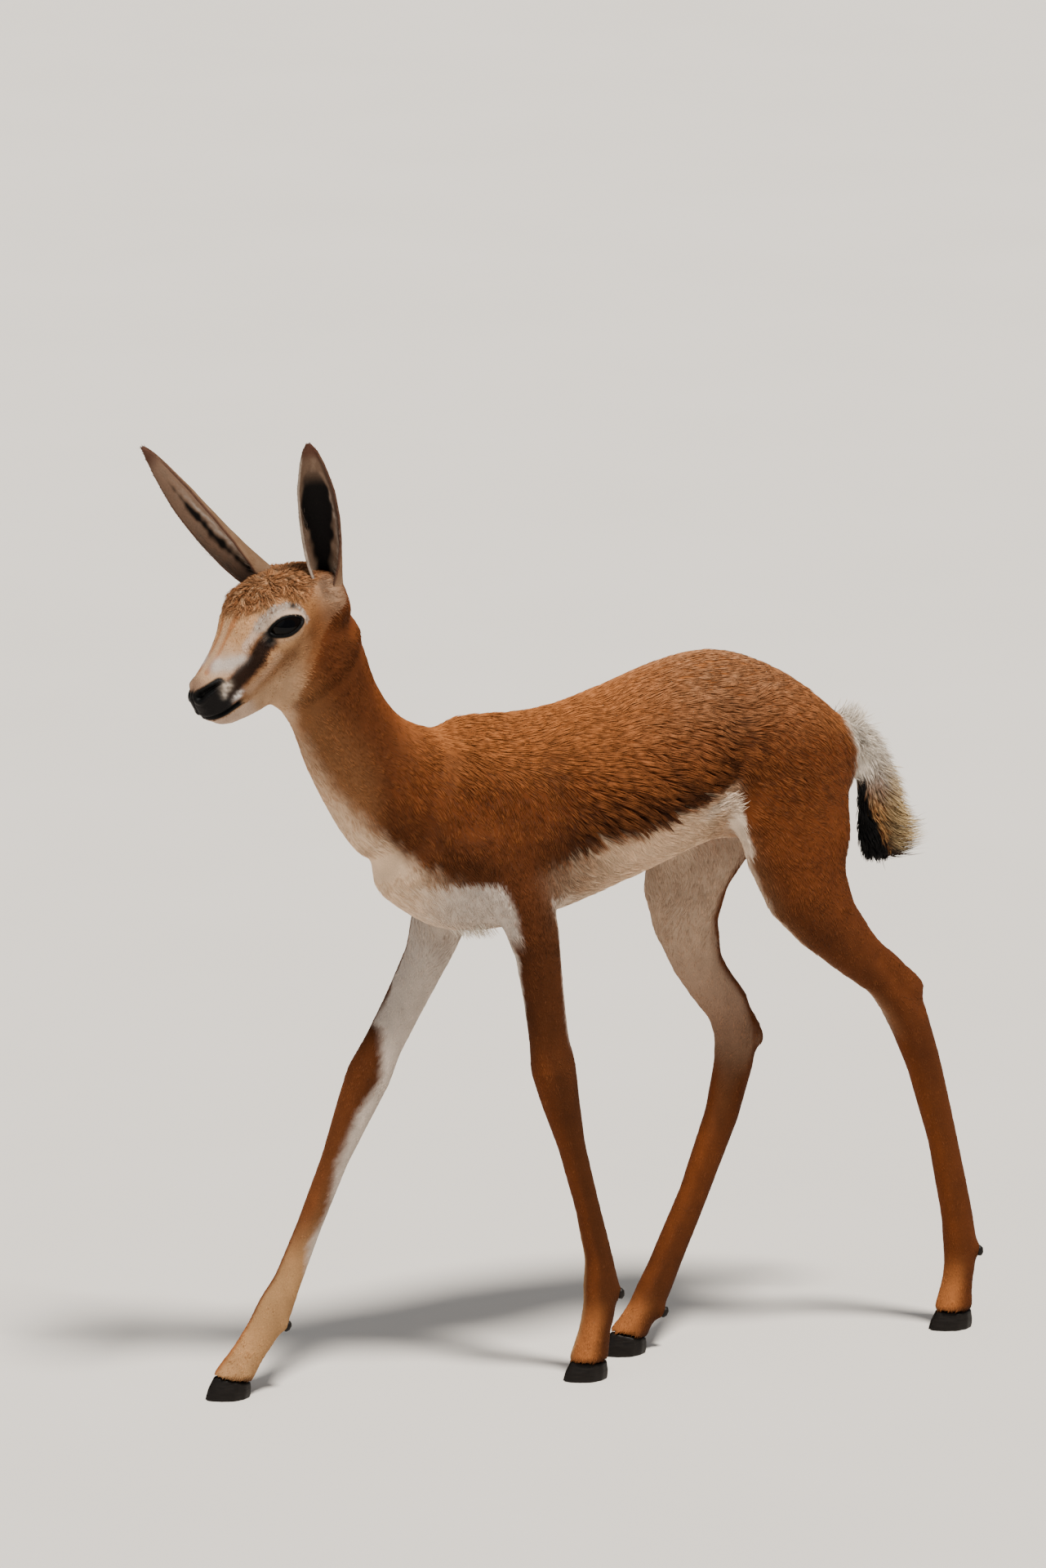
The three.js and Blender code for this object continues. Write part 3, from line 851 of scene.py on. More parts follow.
EAR_NOTCH = [(-42.0, 31.2, -8.0), (-55.0, 27.1, 12.0)]
EAR_FEET = []
for word, sign in SIDES.items():
    start, axis, _, _ = ear_lines(word)
    EAR_FEET.append(on_head((start + axis * 4 * MM)[None])[0] + [0, 5 * sign, -6])
print("feet of the ears:", np.round(EAR_FEET, 1).tolist())


# %% The head's colours
def paint_face(points, places):
    """Cheeks, jaw, crown and the soft lines between eye and nose."""
    mirrored = both_sides(places)
    f, s, g = mirrored.T
    grain = ripples(points, 5, 21)
    behind = step(13, -12, f - at(g, JAW_BACK) + 2 * grain)
    rear_tone = mix((0.165, 0.062, 0.021), (0.30, 0.135, 0.052), step(-22, 0, g))
    crown = step(-5.0, 2.5, g - at(f, CROWN_EDGE) + 2.5 * grain) * step(23, 10, f + 0.3 * s)
    nape = step(-44, -60, f) * step(-30, -12, g)
    top = step(5.5, 2.0, s) * step(16, 24, f) * step(64, 50, f)
    brow = step(0, -2.8, line_distance(mirrored, BROW) - at(f, BROW_WIDTH) + 0.8 * grain)
    stripe = line_distance(mirrored, FACE_STRIPE)
    return layered(mix(FAWN, rear_tone, behind), [
        # the cheek below the stripe darkened with painted shade
        (step(-6, -20, g) * (1 - behind) * step(70, 50, f), (0.205, 0.098, 0.043)),
        (step(-20, -34, g) * (1 - behind) * step(-5, 20, f), (0.42, 0.26, 0.15)),
        (0.5 * step(-14, -5, g) * step(28, 40, f) * step(22, 12, g), (0.50, 0.34, 0.225)),
        (crown, (0.39, 0.185, 0.082)),
        (crown * step(0.1, 0.9, ripples(points, 6, 33)) * 0.55, RUST),
        (crown * step(0.3, 1.0, ripples(points, 4, 35)) * 0.5, (0.60, 0.40, 0.23)),
        (nape, (0.15, 0.056, 0.02)),
        (0.75 * step(3.4, 1.6, line_distance(mirrored, BRIDGE_LINE)), (0.36, 0.13, 0.045)),
        (0.7 * top, (0.52, 0.33, 0.19)),
        (0.45 * step(5.5, 1.0, line_distance(mirrored, PALE_CHEEK)), (0.44, 0.29, 0.19)),
        (0.55 * step(5, 2, line_distance(mirrored, GREY_STREAK)), (0.50, 0.41, 0.35)),
        (brow * 0.85, (0.30, 0.24, 0.195)),
        (brow * step(0.0, 0.7, ripples(points, 4, 55)) * 0.7, (0.15, 0.11, 0.09)),
        (brow * step(0.1, 0.8, ripples(points, 3.4, 57)) * 0.7, (0.50, 0.44, 0.39)),
        (0.9 * spot(mirrored, (-17.6, 29.8, 7.2), 3.0), BLACK),
        (0.9 * step(10.5, 6.0, stripe + 0.7 * grain), (0.10, 0.034, 0.013)),
        (step(7.8, 4.2, stripe + 0.5 * grain), (0.018, 0.008, 0.0045)),
    ])


def paint_eye_rim(coat, points, places):
    mirrored = both_sides(places)
    _, y, left_away, _ = on_eye(places, 1)
    right_away = on_eye(places, -1)[2]
    away = np.where(places[:, 1] > 0, left_away, right_away)
    near = (eye_distance(points) < 22) & (mirrored[:, 1] > 12)
    return layered(coat, [
        (near * step(6.5, 4.0, away) * (0.2 + 0.5 * step(2, -3, y)), (0.54, 0.42, 0.33)),
        (near * step(2.9, 1.5, away), BLACK),
        (spot(mirrored, (12.5, 24.2, -0.8), (4.5, 4, 3.2)) * 1.4, BLACK),
    ])


def nose_leather(f, g, behind, above):
    """1 on the black nose, with the soft edges behind and above it that are given."""
    from_mouth = step(-2.5, 0.5, g - at(f, MOUTH_LINE))
    return step(*behind, f + 0.18 * (g + 8)) * from_mouth * step(*above, g - 0.10 * (f - 60))


def paint_muzzle(coat, points, places):
    mirrored = both_sides(places)
    f, s, g = mirrored.T
    nose_top = step(62, 72, f) * step(20, 10, s)
    puff = spot(mirrored, (51.8, 8.6, 9.4), (6, 5, 5)) + spot(mirrored, (45, 14.9, 5.5), (6, 5, 4.5))
    puff = puff + 0.8 * spot(mirrored, (36.5, 18.8, 3.6), (5, 4, 3.2))
    mouth = g - at(f, MOUTH_LINE)
    muzzle = nose_leather(f, g, (60.5, 64.5), (5.5, 2.5))
    _, from_nostril = along_line(mirrored, NOSTRIL["back"], NOSTRIL["front"])
    mottled = 0.75 + 0.35 * ripples(points, 3.5, 77)
    return layered(coat, [
        (nose_top * 0.75, (0.20, 0.12, 0.085)),
        (np.clip(1.4 * puff, 0, 1) * 0.85, (0.53, 0.46, 0.41)),
        (muzzle, (0.006, 0.005, 0.005)),
        (step(6.2, 4.2, from_nostril), BLACK),
        (step(3.4, 1.8, np.abs(mouth + 0.6)) * step(53, 60, f), BLACK),
        (step(80, 82.5, f) * step(-2, 0.5, mouth) * 0.9, (0.008, 0.006, 0.006)),
        (step(-3.0, -5.0, mouth) * step(46, 56, f) * 0.85, (0.50, 0.36, 0.27)),
        (1.5 * mottled * spot(mirrored, (59.2, 16.2, -4.3), (4.2, 3.5, 3.4)), (0.52, 0.43, 0.35)),
        (1.2 * mottled * spot(mirrored, (64.5, 15.7, -8.4), (2.4, 3, 2.2)), (0.40, 0.34, 0.29)),
        (1.4 * mottled * spot(mirrored, (56.5, 17.9, -16.0), (4.6, 3, 2.2)), (0.60, 0.54, 0.50)),
    ])


def paint_head(points):
    places = on_head(points)
    coat = paint_eye_rim(paint_face(points, places), points, places)
    coat = paint_muzzle(coat, points, places)
    share, distance = along_line(places, *EAR_NOTCH)
    # painted shade: a soft dark dip at the foot of the left ear
    notch_shade = step(2.5, -1.5, distance - 1.0 - 5.5 * share) * step(12, 18, places[:, 1])
    ear_feet = [(0.75 * spot(places, foot, 13), (0.44, 0.31, 0.21)) for foot in EAR_FEET]
    return layered(coat, ear_feet + [
        (0.9 * spot(places, (-47, 31, -9), (10, 9, 15)), (0.33, 0.215, 0.14)),
        (0.7 * notch_shade, (0.09, 0.052, 0.033)),
    ])

# %% [markdown]
# The body is surveyed once for each point: where it is, which way it faces, which part it belongs to and how
# far above the brown edge it lies. Trunk, legs and tail are then painted one by one over the same rusty coat.

# %% Lines of the body
BROWN_EDGE = [
    (-80, 472), (-68, 467), (-49, 459), (-8, 447), (35, 440), (61, 424), (116, 409), (148, 417), (168, 425),
    (185, 435), (222, 470), (242, 497), (260, 530), (275, 566),
]
FAR_FORE_EDGE = [
    (112, 238), (120, 236), (144, 221), (184, 213), (222, 198), (248, 180), (285, 178), (300, 200),
]
ARM_FRONT_EDGE = [(263, 78), (304, 83), (344, 91), (386, 101), (405, 110), (412, 116)]
ARM_BACK_EDGE = [(263, 49), (296, 55), (329, 58), (362, 60), (395, 70)]
TAIL_BLACK = [
    (380, 250), (390, 243), (404, 232), (420, 224.5), (440, 221.5), (455, 219), (470, 212), (490, 210),
]
FLANK_FOLD = [(-62, 50, 447), (-78, 49, 455), (-86, 44, 446), (-92, 39, 430), (-98, 41, 414)]
SHADED_HOLLOWS = [
    # Painted shade in the hollows between the muscles, along lines of FORMS.
    (0.6, 16, FORMS[4][2]), (0.6, 17, FORMS[5][2]), (0.45, 12, FORMS[0][2]), (0.5, 14, FORMS[2][2]),
]
INNER_HEIGHTS = [200, 255, 330, 430]
INNER_TONES = [(0.13, 0.25, 0.43, 0.58), (0.06, 0.145, 0.30, 0.44), (0.028, 0.092, 0.21, 0.33)]
# The fore legs' white inner side, greyed by painted shade.
SHADED_FORE_INNER = (0.52, 0.435, 0.37)
GOLDEN_PASTERN = (0.42, 0.235, 0.105)


def survey(points, normals, shares):
    """What the paint has to know at each point of the body."""
    ahead, left, up = body_places(points).T
    face_ahead, face_left, face_up = (normals * BODY_SIGNS).T
    share = by_kind(shares)
    side = np.sign(shares[:, -1])
    grain = ripples(points, 14, 3)
    fine = ripples(points, 5, 5)
    rump = step(-186, -198, ahead) * step(27, 17, np.abs(left) - 0.10 * np.maximum(490 - up, 0))
    return SimpleNamespace(
        points=points, ahead=ahead, left=left, up=up, face_ahead=face_ahead, face_up=face_up, share=share,
        side=side, outward=face_left * side, grain=grain, fine=fine,
        mirrored=np.stack([ahead, np.abs(left), up], 1),
        above=up - at(ahead, BROWN_EDGE) + 2.6 * grain + 1.4 * fine,
        rump=rump * step(380, 410, up),
        legs=1 - share["head"] - share["neck"] - share["trunk"] - share["tail"],
    )


# %% Colours of the trunk and tail
def rusty_coat(here):
    """Cinnamon, with painted light on the back that faces up, dark along the edge of the white, and painted
    shade low on the sides, on the neck's sides, on the lower chest and in hollows.
    """
    share, above, ahead, face_up = here.share, here.above, here.ahead, here.face_up
    back_light = step(0.15, 0.9, face_up) * (share["trunk"] + share["neck"])
    band = step(46, 8, above) * step(-95, -50, ahead) * step(130, 60, ahead)
    # painted shade on the lower chest and shoulder, just above the arm
    chest_shade = step(64, 12, above) * step(85, 125, ahead) * step(218, 190, ahead)
    neck_front = step(85, 0, above) * step(195, 225, ahead) * step(0.9, 0.4, face_up)
    nape = share["neck"] * step(0.35, 0.8, -here.face_ahead * 0.7 + face_up * 0.7)
    # painted shade in the hollows between the muscles
    hollow = raised(here.mirrored, SHADED_HOLLOWS)
    return layered(np.tile(RUST, (len(ahead), 1)), [
        (0.8 * back_light, TAN),
        # painted shade: the sides that face downwards are darker
        (0.35 * step(0.25, -0.25, face_up), BROWN),
        (0.8 * band, BROWN * 0.85),
        (0.75 * chest_shade, BROWN * 0.85),
        # the neck's sides darker brown, partly their own colour and partly painted shade
        (share["neck"] * step(0.9, 0.3, face_up) * 0.75, BROWN),
        (0.65 * neck_front, (0.27, 0.125, 0.052)),
        (0.5 * nape, RUST * 1.3),
        (np.clip(hollow, 0, 0.6) * share["trunk"], BROWN * 0.7),
    ])


def trunk_coat(here, rusty):
    """White below the brown edge, between the hind legs and on the rump, darkened to fawn on the throat as
    painted shade.
    """
    ahead, up = here.ahead, here.up
    edge_width = 5 + 4 * step(50, 90, ahead) + 5 * step(175, 220, ahead)
    belly = step(1, -1, here.above / edge_width) * step(-93, -83, ahead + 0.12 * (up - 440))
    between = step(-100, -86, -ahead) * step(-0.35, -0.75, here.face_up) * step(460, 440, up)
    pale = np.maximum.reduce([belly, between, here.rump])
    # painted shade: the white throat darkened to fawn
    shaded_throat = step(445, 505, up) * step(160, 200, ahead)
    # the white below leans to cream, partly its own tone and partly painted warm bounce light from the floor
    white = mix(CREAM * 0.95 + WHITE * 0.14, (0.52, 0.34, 0.215), shaded_throat)
    return layered(mix(rusty, white, pale), [(here.rump, WHITE)])


def tail_coat(here):
    """White at the root, golden brown and dark below, with a black line down the side next to the rump,
    partly dark hair and partly painted shade.
    """
    up = here.up
    # the black line: dark hair, and towards the rump painted shade where tail and rump meet
    black_line = step(1.2, -1.2, -here.ahead - at(up, TAIL_BLACK)) * step(496, 482, up)
    return layered(np.tile(WHITE, (len(up), 1)), [
        (step(478, 445, up), (0.40, 0.34, 0.29)),
        (step(455, 425, up + 3 * here.fine), (0.36, 0.21, 0.085)),
        (step(0.0, 0.6, ripples(here.points, 4, 9)) * step(460, 430, up), UMBER),
        (step(400, 388, up), (0.035, 0.019, 0.012)),
        (black_line, BLACK),
    ])


# %% Colours of the legs
def white_of_legs(here):
    """How white each leg is: its inner side, its back edge and the marks on the near and far fore legs."""
    ahead, up, outward, share, fine = here.ahead, here.up, here.outward, here.share, here.fine
    rear = -here.face_ahead
    toward = outward - 0.8 * np.maximum(rear, 0) - 0.42 * np.maximum(here.face_ahead, 0)
    toward_knee = 0.75 * step(345, 262, up)
    arm = step(-0.05, -0.35, toward + toward_knee + 0.12 * here.grain) * step(430, 400, up)
    breast = step(3.5, -3.5, here.above) * step(0.6, 0.25, outward) * step(60, 90, ahead)
    arm = np.maximum(arm, breast * step(370, 400, up))
    front = step(-3, 3, ahead - at(up, ARM_FRONT_EDGE) + fine) * step(415, 408, up) * step(352, 372, up)
    back = step(3, -3, ahead - at(up, ARM_BACK_EDGE) + fine) * step(398, 388, up)
    near_arm = (here.side > 0) * step(268, 290, up)
    arm = np.maximum(arm, near_arm * np.maximum(front, back))
    cannon = step(-0.75, -1.0, outward - 1.2 * rear)
    far_pale = step(-6, 5, at(up, FAR_FORE_EDGE) - ahead + 1.1 * fine) * step(0.35, -0.1, outward)
    far_fore = (here.side < 0) * step(316, 284, up)
    arm = arm * (1 - far_fore) + far_pale * far_fore
    cannon = cannon * (1 - far_fore) + far_pale * far_fore
    thigh = step(-0.18, -0.66, outward - 0.9 * here.face_ahead + 0.10 * here.grain)
    thigh = thigh * (1 - step(0.3, 0.8, rear) * step(400, 340, up))
    thigh = np.maximum(thigh * step(474, 462, up + 3 * here.grain), here.rump)
    hind = 0.5 * step(-0.8, -1.2, outward - 0.6 * here.face_ahead) * step(150, 220, up)
    pale = (share["arm"] + share["forearm"]) * arm + share["fore_cannon"] * cannon
    pale = pale + (share["thigh"] + share["gaskin"]) * thigh
    return (pale + share["hind_cannon"] * hind) / np.maximum(here.legs, 0.001)


def leg_coat(here, rusty):
    """Brown shins, golden pasterns and dark coronets, with the white laid over them."""
    up, outward, share, face_ahead = here.up, here.outward, here.share, here.face_ahead
    rear = -face_ahead
    pale = white_of_legs(here)
    whole = np.maximum(here.legs, 0.001)
    feet = (share["fore_pastern"] + share["hind_pastern"]) / whole
    fore = (share["arm"] + share["forearm"] + share["fore_cannon"] + share["fore_pastern"]) / whole
    inner = np.stack([np.interp(up, INNER_HEIGHTS, tone) for tone in INNER_TONES], 1)
    edge_light = step(0.3, 0.98, face_ahead) * step(440, 420, up) * step(238, 262, up) * (1 - fore)
    colours = layered(rusty, [
        (0.3 + 0.3 * step(430, 330, up), BROWN),
        # the fronts of the lower legs lighter, partly their own tan and partly painted light
        (0.45 * (step(0.1, 0.8, face_ahead) * step(290, 240, up)), RUST * 1.35),
        (0.65 * feet * step(0.3, -0.5, rear), TAN * 0.9),
        (0.4 * feet * step(0.2, 0.8, rear), UMBER),
        (0.5 * (1 - pale) * fore * step(0.2, -0.4, outward) * step(120, 200, up), BROWN),
        (0.4 * edge_light, (0.30, 0.155, 0.08)),
        (0.85 * (fore * step(150, 85, up) * step(0.25, -0.3, outward)), GOLDEN_PASTERN),
    ])
    colours = mix(colours, mix(inner, SHADED_FORE_INNER, fore), pale)
    return layered(colours, [(0.8 * step(21, 15, up), UMBER)])


# %% The whole coat
SKIN_SHADE = 0.8


def paint(points, normals, shares):
    """The coat's colour at each point, from its place, the way it faces and the part it is on."""
    here = survey(points, normals, shares)
    rusty = rusty_coat(here)
    colours = mix(trunk_coat(here, rusty), leg_coat(here, rusty), here.legs)
    fold = step(9.0, 5.5, line_distance(here.mirrored, FLANK_FOLD) + 1.2 * here.fine) * step(-5, 5, here.left)
    colours = layered(colours, [(fold, CREAM * 0.5 + WHITE * 0.5)])
    colours = mix(colours, tail_coat(here), step(0.25, 0.6, here.share["tail"]))
    colours = mix(colours, paint_head(points), step(0.35, 0.65, here.share["head"]))
    patch = 1 + 0.09 * ripples(points, 60, 7) + 0.07 * here.grain
    return np.clip(colours * patch[:, None], 0.004, 0.95)


def set_colour(obj, name, colours):
    layer = obj.data.color_attributes.new(name, "FLOAT_COLOR", "POINT")
    rgba = np.ones((len(colours), 4), dtype=np.float32)
    rgba[:, :3] = colours
    layer.data.foreach_set("color", rgba.ravel())


skin_normals = normals_of(skin)
skin_points = points_of(skin)
skin_tones = paint(skin_points, skin_normals, skin_shares)
set_colour(skin, "coat_colour", skin_tones * SKIN_SHADE)
print("mean coat colour:", skin_tones.mean(0).round(3))

# %% [markdown]
# ## The lie of the coat
# Hair leans away from a whorl on the forehead: down the face, over the poll, along the neck and back, down
# the flanks and on down each leg. Each kind of part has its own lean, which the shares blend, and the result
# is pressed flat onto the skin.

# %% Which way the hair leans
CHAINS = {
    "fore": ["arm", "forearm", "fore_cannon", "fore_pastern"],
    "hind": ["thigh", "gaskin", "hind_cannon", "hind_pastern"],
}
LEAN_ROUNDS = 8
TAIL_SLOPE = [(383, 0.5), (404, 0.35), (440, 0.2), (478, 0.25), (497, 0.9)]


def off_skin(directions, normals):
    """How much of each direction points out of the skin."""
    return normals * (directions * normals).sum(1)[:, None]


def with_leg_lean(total, share, side):
    """Adds the lean of the legs, along each bone from one joint to the next."""
    for end, chain in CHAINS.items():
        for word, sign in SIDES.items():
            stops = [node_middle(f"{word}_{part}") for part in chain]
            toes = [node_middle(f"{word}_{end}_hoof_{half}") for half in SIDES]
            stops.append((toes[0] + toes[1]) / 2)
            for part, start, stop in zip(chain, stops[:-1], stops[1:]):
                here = share[part] * (side == sign)
                total = total + here[:, None] * unit(stop - start)
    return total


def lean(points, normals, shares):
    ahead, _, up = body_places(points).T
    share = by_kind(shares)
    f, s, g = on_head(points).T
    ones = np.ones(len(f))
    whorl = unit(np.stack([f + 24, s, (g - 22) * 0.6], 1))
    cheek = unit(np.stack([-ones, 0.1 * np.sign(s), -0.7 * ones], 1))
    head_lean = unit(mix(whorl, cheek, step(4, -14, g)) @ head_axes)
    mid = step(-150, -60, ahead) * step(140, 60, ahead)
    sink = np.clip((512 - up) / 90, 0, 1)
    belly = step(-0.3, -0.8, normals[:, 2])
    fall = (0.12 + (0.35 + 0.45 * mid) * sink) * (1 - belly)
    fall = fall + 0.45 * step(70, 140, ahead) * (1 - belly) + 0.8 * step(-130, -190, ahead)
    total = share["head"][:, None] * head_lean
    total = total + share["neck"][:, None] * unit(heading(-0.62, 0, -0.78))
    total = total + share["trunk"][:, None] * unit(np.stack([ones, 0 * ones, -fall], 1))
    total = total + share["tail"][:, None] * unit(np.stack([at(up, TAIL_SLOPE), 0 * ones, -ones], 1))
    total = with_leg_lean(total, share, np.sign(shares[:, -1]))
    thigh_back = share["thigh"][:, None] * unit(heading(-0.7, 0, -0.2)) * step(400, 480, up)[:, None]
    total = total + 1.2 * thigh_back
    return unit(total - off_skin(total, normals) + 1e-6)


skin_lean = lean(skin_points, skin_normals, skin_shares)
skin_lean = unit(spread(skin_lean, edges_of(skin), LEAN_ROUNDS, 0.5))
print("lie of the coat ready")

# %% [markdown]
# ## The skin laid flat
# A coat piece carries its colours on a map. Each tuft gets a small patch of it, at the place of its root when
# the skin is cut along its creases and laid flat.

# %% Unwrapping the skin
edit(skin, bpy.ops.uv.smart_project, angle_limit=math.radians(66), island_margin=0.002)
skin.data.uv_layers.active.name = "OFBake"
print("map:", skin.data.uv_layers.active.name)

# %% [markdown]
# ## Tufts
# Each tuft is a thin lock of hair: a closed spike with three sides, wide and flat at its root, that rises a
# little and bends back along the body. Neighbours lean together into locks, with darker roots between them.

# %% Roots on a surface
class Surface:
    """The triangles of a finished skin, with everything a tuft needs to know at its root."""

    def __init__(self, obj, values):
        mesh = obj.data
        mesh.calc_loop_triangles()
        self.corners = read(mesh.loop_triangles, "vertices", 3, np.int32)
        loops = read(mesh.loop_triangles, "loops", 3, np.int32)
        self.map = read(mesh.uv_layers.active.data, "uv", 2)[loops]
        self.points = points_of(obj)
        self.normals = normals_of(obj)
        self.values = values
        a, b, c = (self.points[self.corners[:, k]] for k in range(3))
        self.areas = np.linalg.norm(np.cross(b - a, c - a), axis=1) / 2 / MM ** 2
        self.centres = (a + b + c) / 3

    def roots(self, density, dice):
        """Random roots: density is tufts for each square millimetre at each triangle."""
        expected = self.areas * density
        count = int(expected.sum())
        chosen = dice.choice(len(expected), count, p=expected / expected.sum())
        u = dice.random(count)
        v = dice.random(count)
        over = u + v > 1
        u = np.where(over, 1 - u, u)
        v = np.where(over, 1 - v, v)
        weights = np.stack([1 - u - v, u, v], 1)[:, :, None]
        corners = self.corners[chosen]
        result = {
            "points": (self.points[corners] * weights).sum(1),
            "normals": unit((self.normals[corners] * weights).sum(1)),
            "map": (self.map[chosen] * weights).sum(1),
        }
        for name, value in self.values.items():
            result[name] = (value[corners] * weights).sum(1)
        return result


skin_surface = Surface(skin, {"shares": skin_shares, "lean": skin_lean})
print("skin area, square mm:", round(skin_surface.areas.sum()))

# %% [markdown]
# All tufts of a piece are built at once: rings of three corners from the root up, a point at the tip, and the
# same list of faces for each tuft. Its colour runs from a deep tone at the root to a paler one at the tip.

# %% Growing tufts
BAKE_PATCH = 0.003
ROOT_DEPTH = 0.25
TUFT_THICK = 0.42
TUFT_TAPER = 0.35


def tuft_faces(rings):
    """Corner numbers, first corner of each face, and each corner's place in the tuft's small patch."""
    corners = []
    firsts = []
    patch = []
    levels = np.linspace(0.12, 1, rings + 1)
    top = (rings - 1) * 3
    for ring in range(rings - 1):
        low, high = levels[ring], levels[ring + 1]
        for k in range(3):
            following = (k + 1) % 3
            firsts.append(len(corners))
            corners += [ring * 3 + k, ring * 3 + following, ring * 3 + 3 + following, ring * 3 + 3 + k]
            patch += [(k / 3, low), ((k + 1) / 3, low), ((k + 1) / 3, high), (k / 3, high)]
    for k in range(3):
        firsts.append(len(corners))
        corners += [top + k, top + (k + 1) % 3, rings * 3]
        patch += [(k / 3, levels[rings - 1]), ((k + 1) / 3, levels[rings - 1]), ((k + 0.5) / 3, 1)]
    firsts.append(len(corners))
    corners += [0, 2, 1]
    patch += [(0, 0), (1, 0), (0.5, 0.1)]
    return np.array(corners), np.array(firsts), np.array(patch)


def tuft_corners(root, lie, length, width, lift, deep, pale, rings, curl, bend):
    """Places and colours of every tuft's corners, ring by ring and last the tip."""
    normals = root["normals"]
    across = np.cross(lie, normals)
    levels = np.linspace(0, 1, rings + 1)[:rings] ** 0.9
    vertices = np.empty((len(length), rings * 3 + 1, 3))
    colours = np.empty((len(length), rings * 3 + 1, 3))
    reach = (length * MM)[:, None]
    for ring, t in enumerate([*levels, 1.0]):
        height = lift[:, None] * reach * t * (1 - curl * t)
        centre = root["points"] + lie * reach * t + normals * (height - ROOT_DEPTH * MM)
        centre = centre + bend * reach * t * t
        colour = deep * (1 - t) + pale * t
        if ring == rings:
            vertices[:, rings * 3] = centre
            colours[:, rings * 3] = colour
            continue
        half = (width * MM / 2)[:, None] * (1 - TUFT_TAPER * t)
        vertices[:, ring * 3] = centre - across * half
        vertices[:, ring * 3 + 1] = centre + normals * half * 2 * TUFT_THICK
        vertices[:, ring * 3 + 2] = centre + across * half
        colours[:, ring * 3:ring * 3 + 3] = colour[:, None]
    return vertices, colours


def build_tufts(name, root, lie, length, width, lift, deep, pale, rings=2, curl=0.45, bend=0.0):
    """One mesh of closed spikes. Length and width are in millimetres, lift is the slope at the root."""
    vertices, colours = tuft_corners(root, lie, length, width, lift, deep, pale, rings, curl, bend)
    corners, firsts, patch = tuft_faces(rings)
    count, size = vertices.shape[:2]
    tufts = np.arange(count)[:, None]
    mesh = bpy.data.meshes.new(name)
    mesh.vertices.add(count * size)
    mesh.vertices.foreach_set("co", vertices.astype(np.float32).ravel())
    mesh.loops.add(count * len(corners))
    mesh.loops.foreach_set("vertex_index", (corners[None] + tufts * size).astype(np.int32).ravel())
    mesh.polygons.add(count * len(firsts))
    mesh.polygons.foreach_set("loop_start", (firsts[None] + tufts * len(corners)).astype(np.int32).ravel())
    layer = mesh.uv_layers.new(name="OFBake")
    spots = root["map"][:, None] + (patch[None] - 0.5) * BAKE_PATCH
    layer.data.foreach_set("uv", np.clip(spots, 0, 1).astype(np.float32).ravel())
    mesh.update(calc_edges=True)
    obj = bpy.data.objects.new(name, mesh)
    bpy.context.scene.collection.objects.link(obj)
    set_colour(obj, "coat_colour", np.clip(colours.reshape(-1, 3), 0.003, 0.98))
    mesh.shade_smooth()
    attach(obj, "root")
    print(name, "tufts:", count, "triangles:", count * (rings * 6 - 2))
    return obj


# %% Turning and gathering tufts
def turned(lie, normals, angle):
    """The lie turned on the skin by an angle for each tuft."""
    across = np.cross(lie, normals)
    return unit(lie * np.cos(angle)[:, None] + across * np.sin(angle)[:, None])


def gather(roots, lie, reach, dice, every, pull):
    """Leans the tips of neighbours together into locks. Returns the lie, the reach and each lock's luck."""
    points = roots["points"]
    count = len(reach)
    leaders = dice.choice(count, max(count // every, 1), replace=False)
    tree = KDTree(len(leaders))
    for number, leader in enumerate(leaders):
        tree.insert(points[leader], number)
    tree.balance()
    own = leaders[[tree.find(point)[1] for point in points]]
    tip = points + lie * (reach * MM)[:, None]
    lead_tip = tip[own] + 0.3 * (points - points[own])
    offset = tip + (lead_tip - tip) * pull[:, None] - points
    offset = offset - off_skin(offset, roots["normals"])
    new_reach = np.linalg.norm(offset, axis=1)
    luck = dice.random(count)[own]
    return unit(offset), np.clip(new_reach / MM, 0.5 * reach, 1.4 * reach), luck


# %% [markdown]
# ## The body's coat
# Each kind of part has its own coat: long and loose on the trunk, short and sleek on the legs and face. Some
# places change it by a share of itself, such as the shaggy crown and the haunch with its small curls.

# %% Coat by part
COAT_BY_PART = {
    "head": (3.4, 0.58, 0.17, 0.78, 0.30),
    "neck": (6.0, 0.56, 0.11, 0.50, 0.42),
    "trunk": (14.0, 0.75, 0.17, 0.43, 0.55),
    "tail": (10.0, 0.9, 0.40, 0.60, 0.50),
    "arm": (6.5, 0.72, 0.12, 0.32, 0.40),
    "forearm": (4.0, 0.65, 0.10, 0.25, 0.30),
    "fore_cannon": (3.2, 0.6, 0.09, 0.27, 0.30),
    "fore_pastern": (3.7, 0.6, 0.14, 0.50, 0.30),
    "thigh": (7.0, 0.70, 0.12, 0.34, 0.40),
    "gaskin": (4.2, 0.65, 0.10, 0.25, 0.30),
    "hind_cannon": (3.2, 0.6, 0.09, 0.27, 0.30),
    "hind_pastern": (3.7, 0.6, 0.14, 0.50, 0.30),
}
COAT_CHANGES = {
    "low flank": (0.35, 0.2, 0.6),
    "lower chest": (-0.48, -0.25, -0.35),
    "spine": (-0.22, 0, 0),
    "haunch": (0.5, 0, 0),
    "curls": (0, 0, 2.6),
    "belly": (0, -0.25, -0.3),
    "face": (-0.35, -0.15, 0),
    "eyelids": (-0.35, 0, 0),
    "crown": (0.95, 0, 2.6),
}
CROWN_HAIR_EDGE = [(-29, 4), (-18, 18.6), (-7, 20.7), (4.5, 24.3), (17, 25)]
coat_table = np.array([COAT_BY_PART[kind] for kind in KIND])


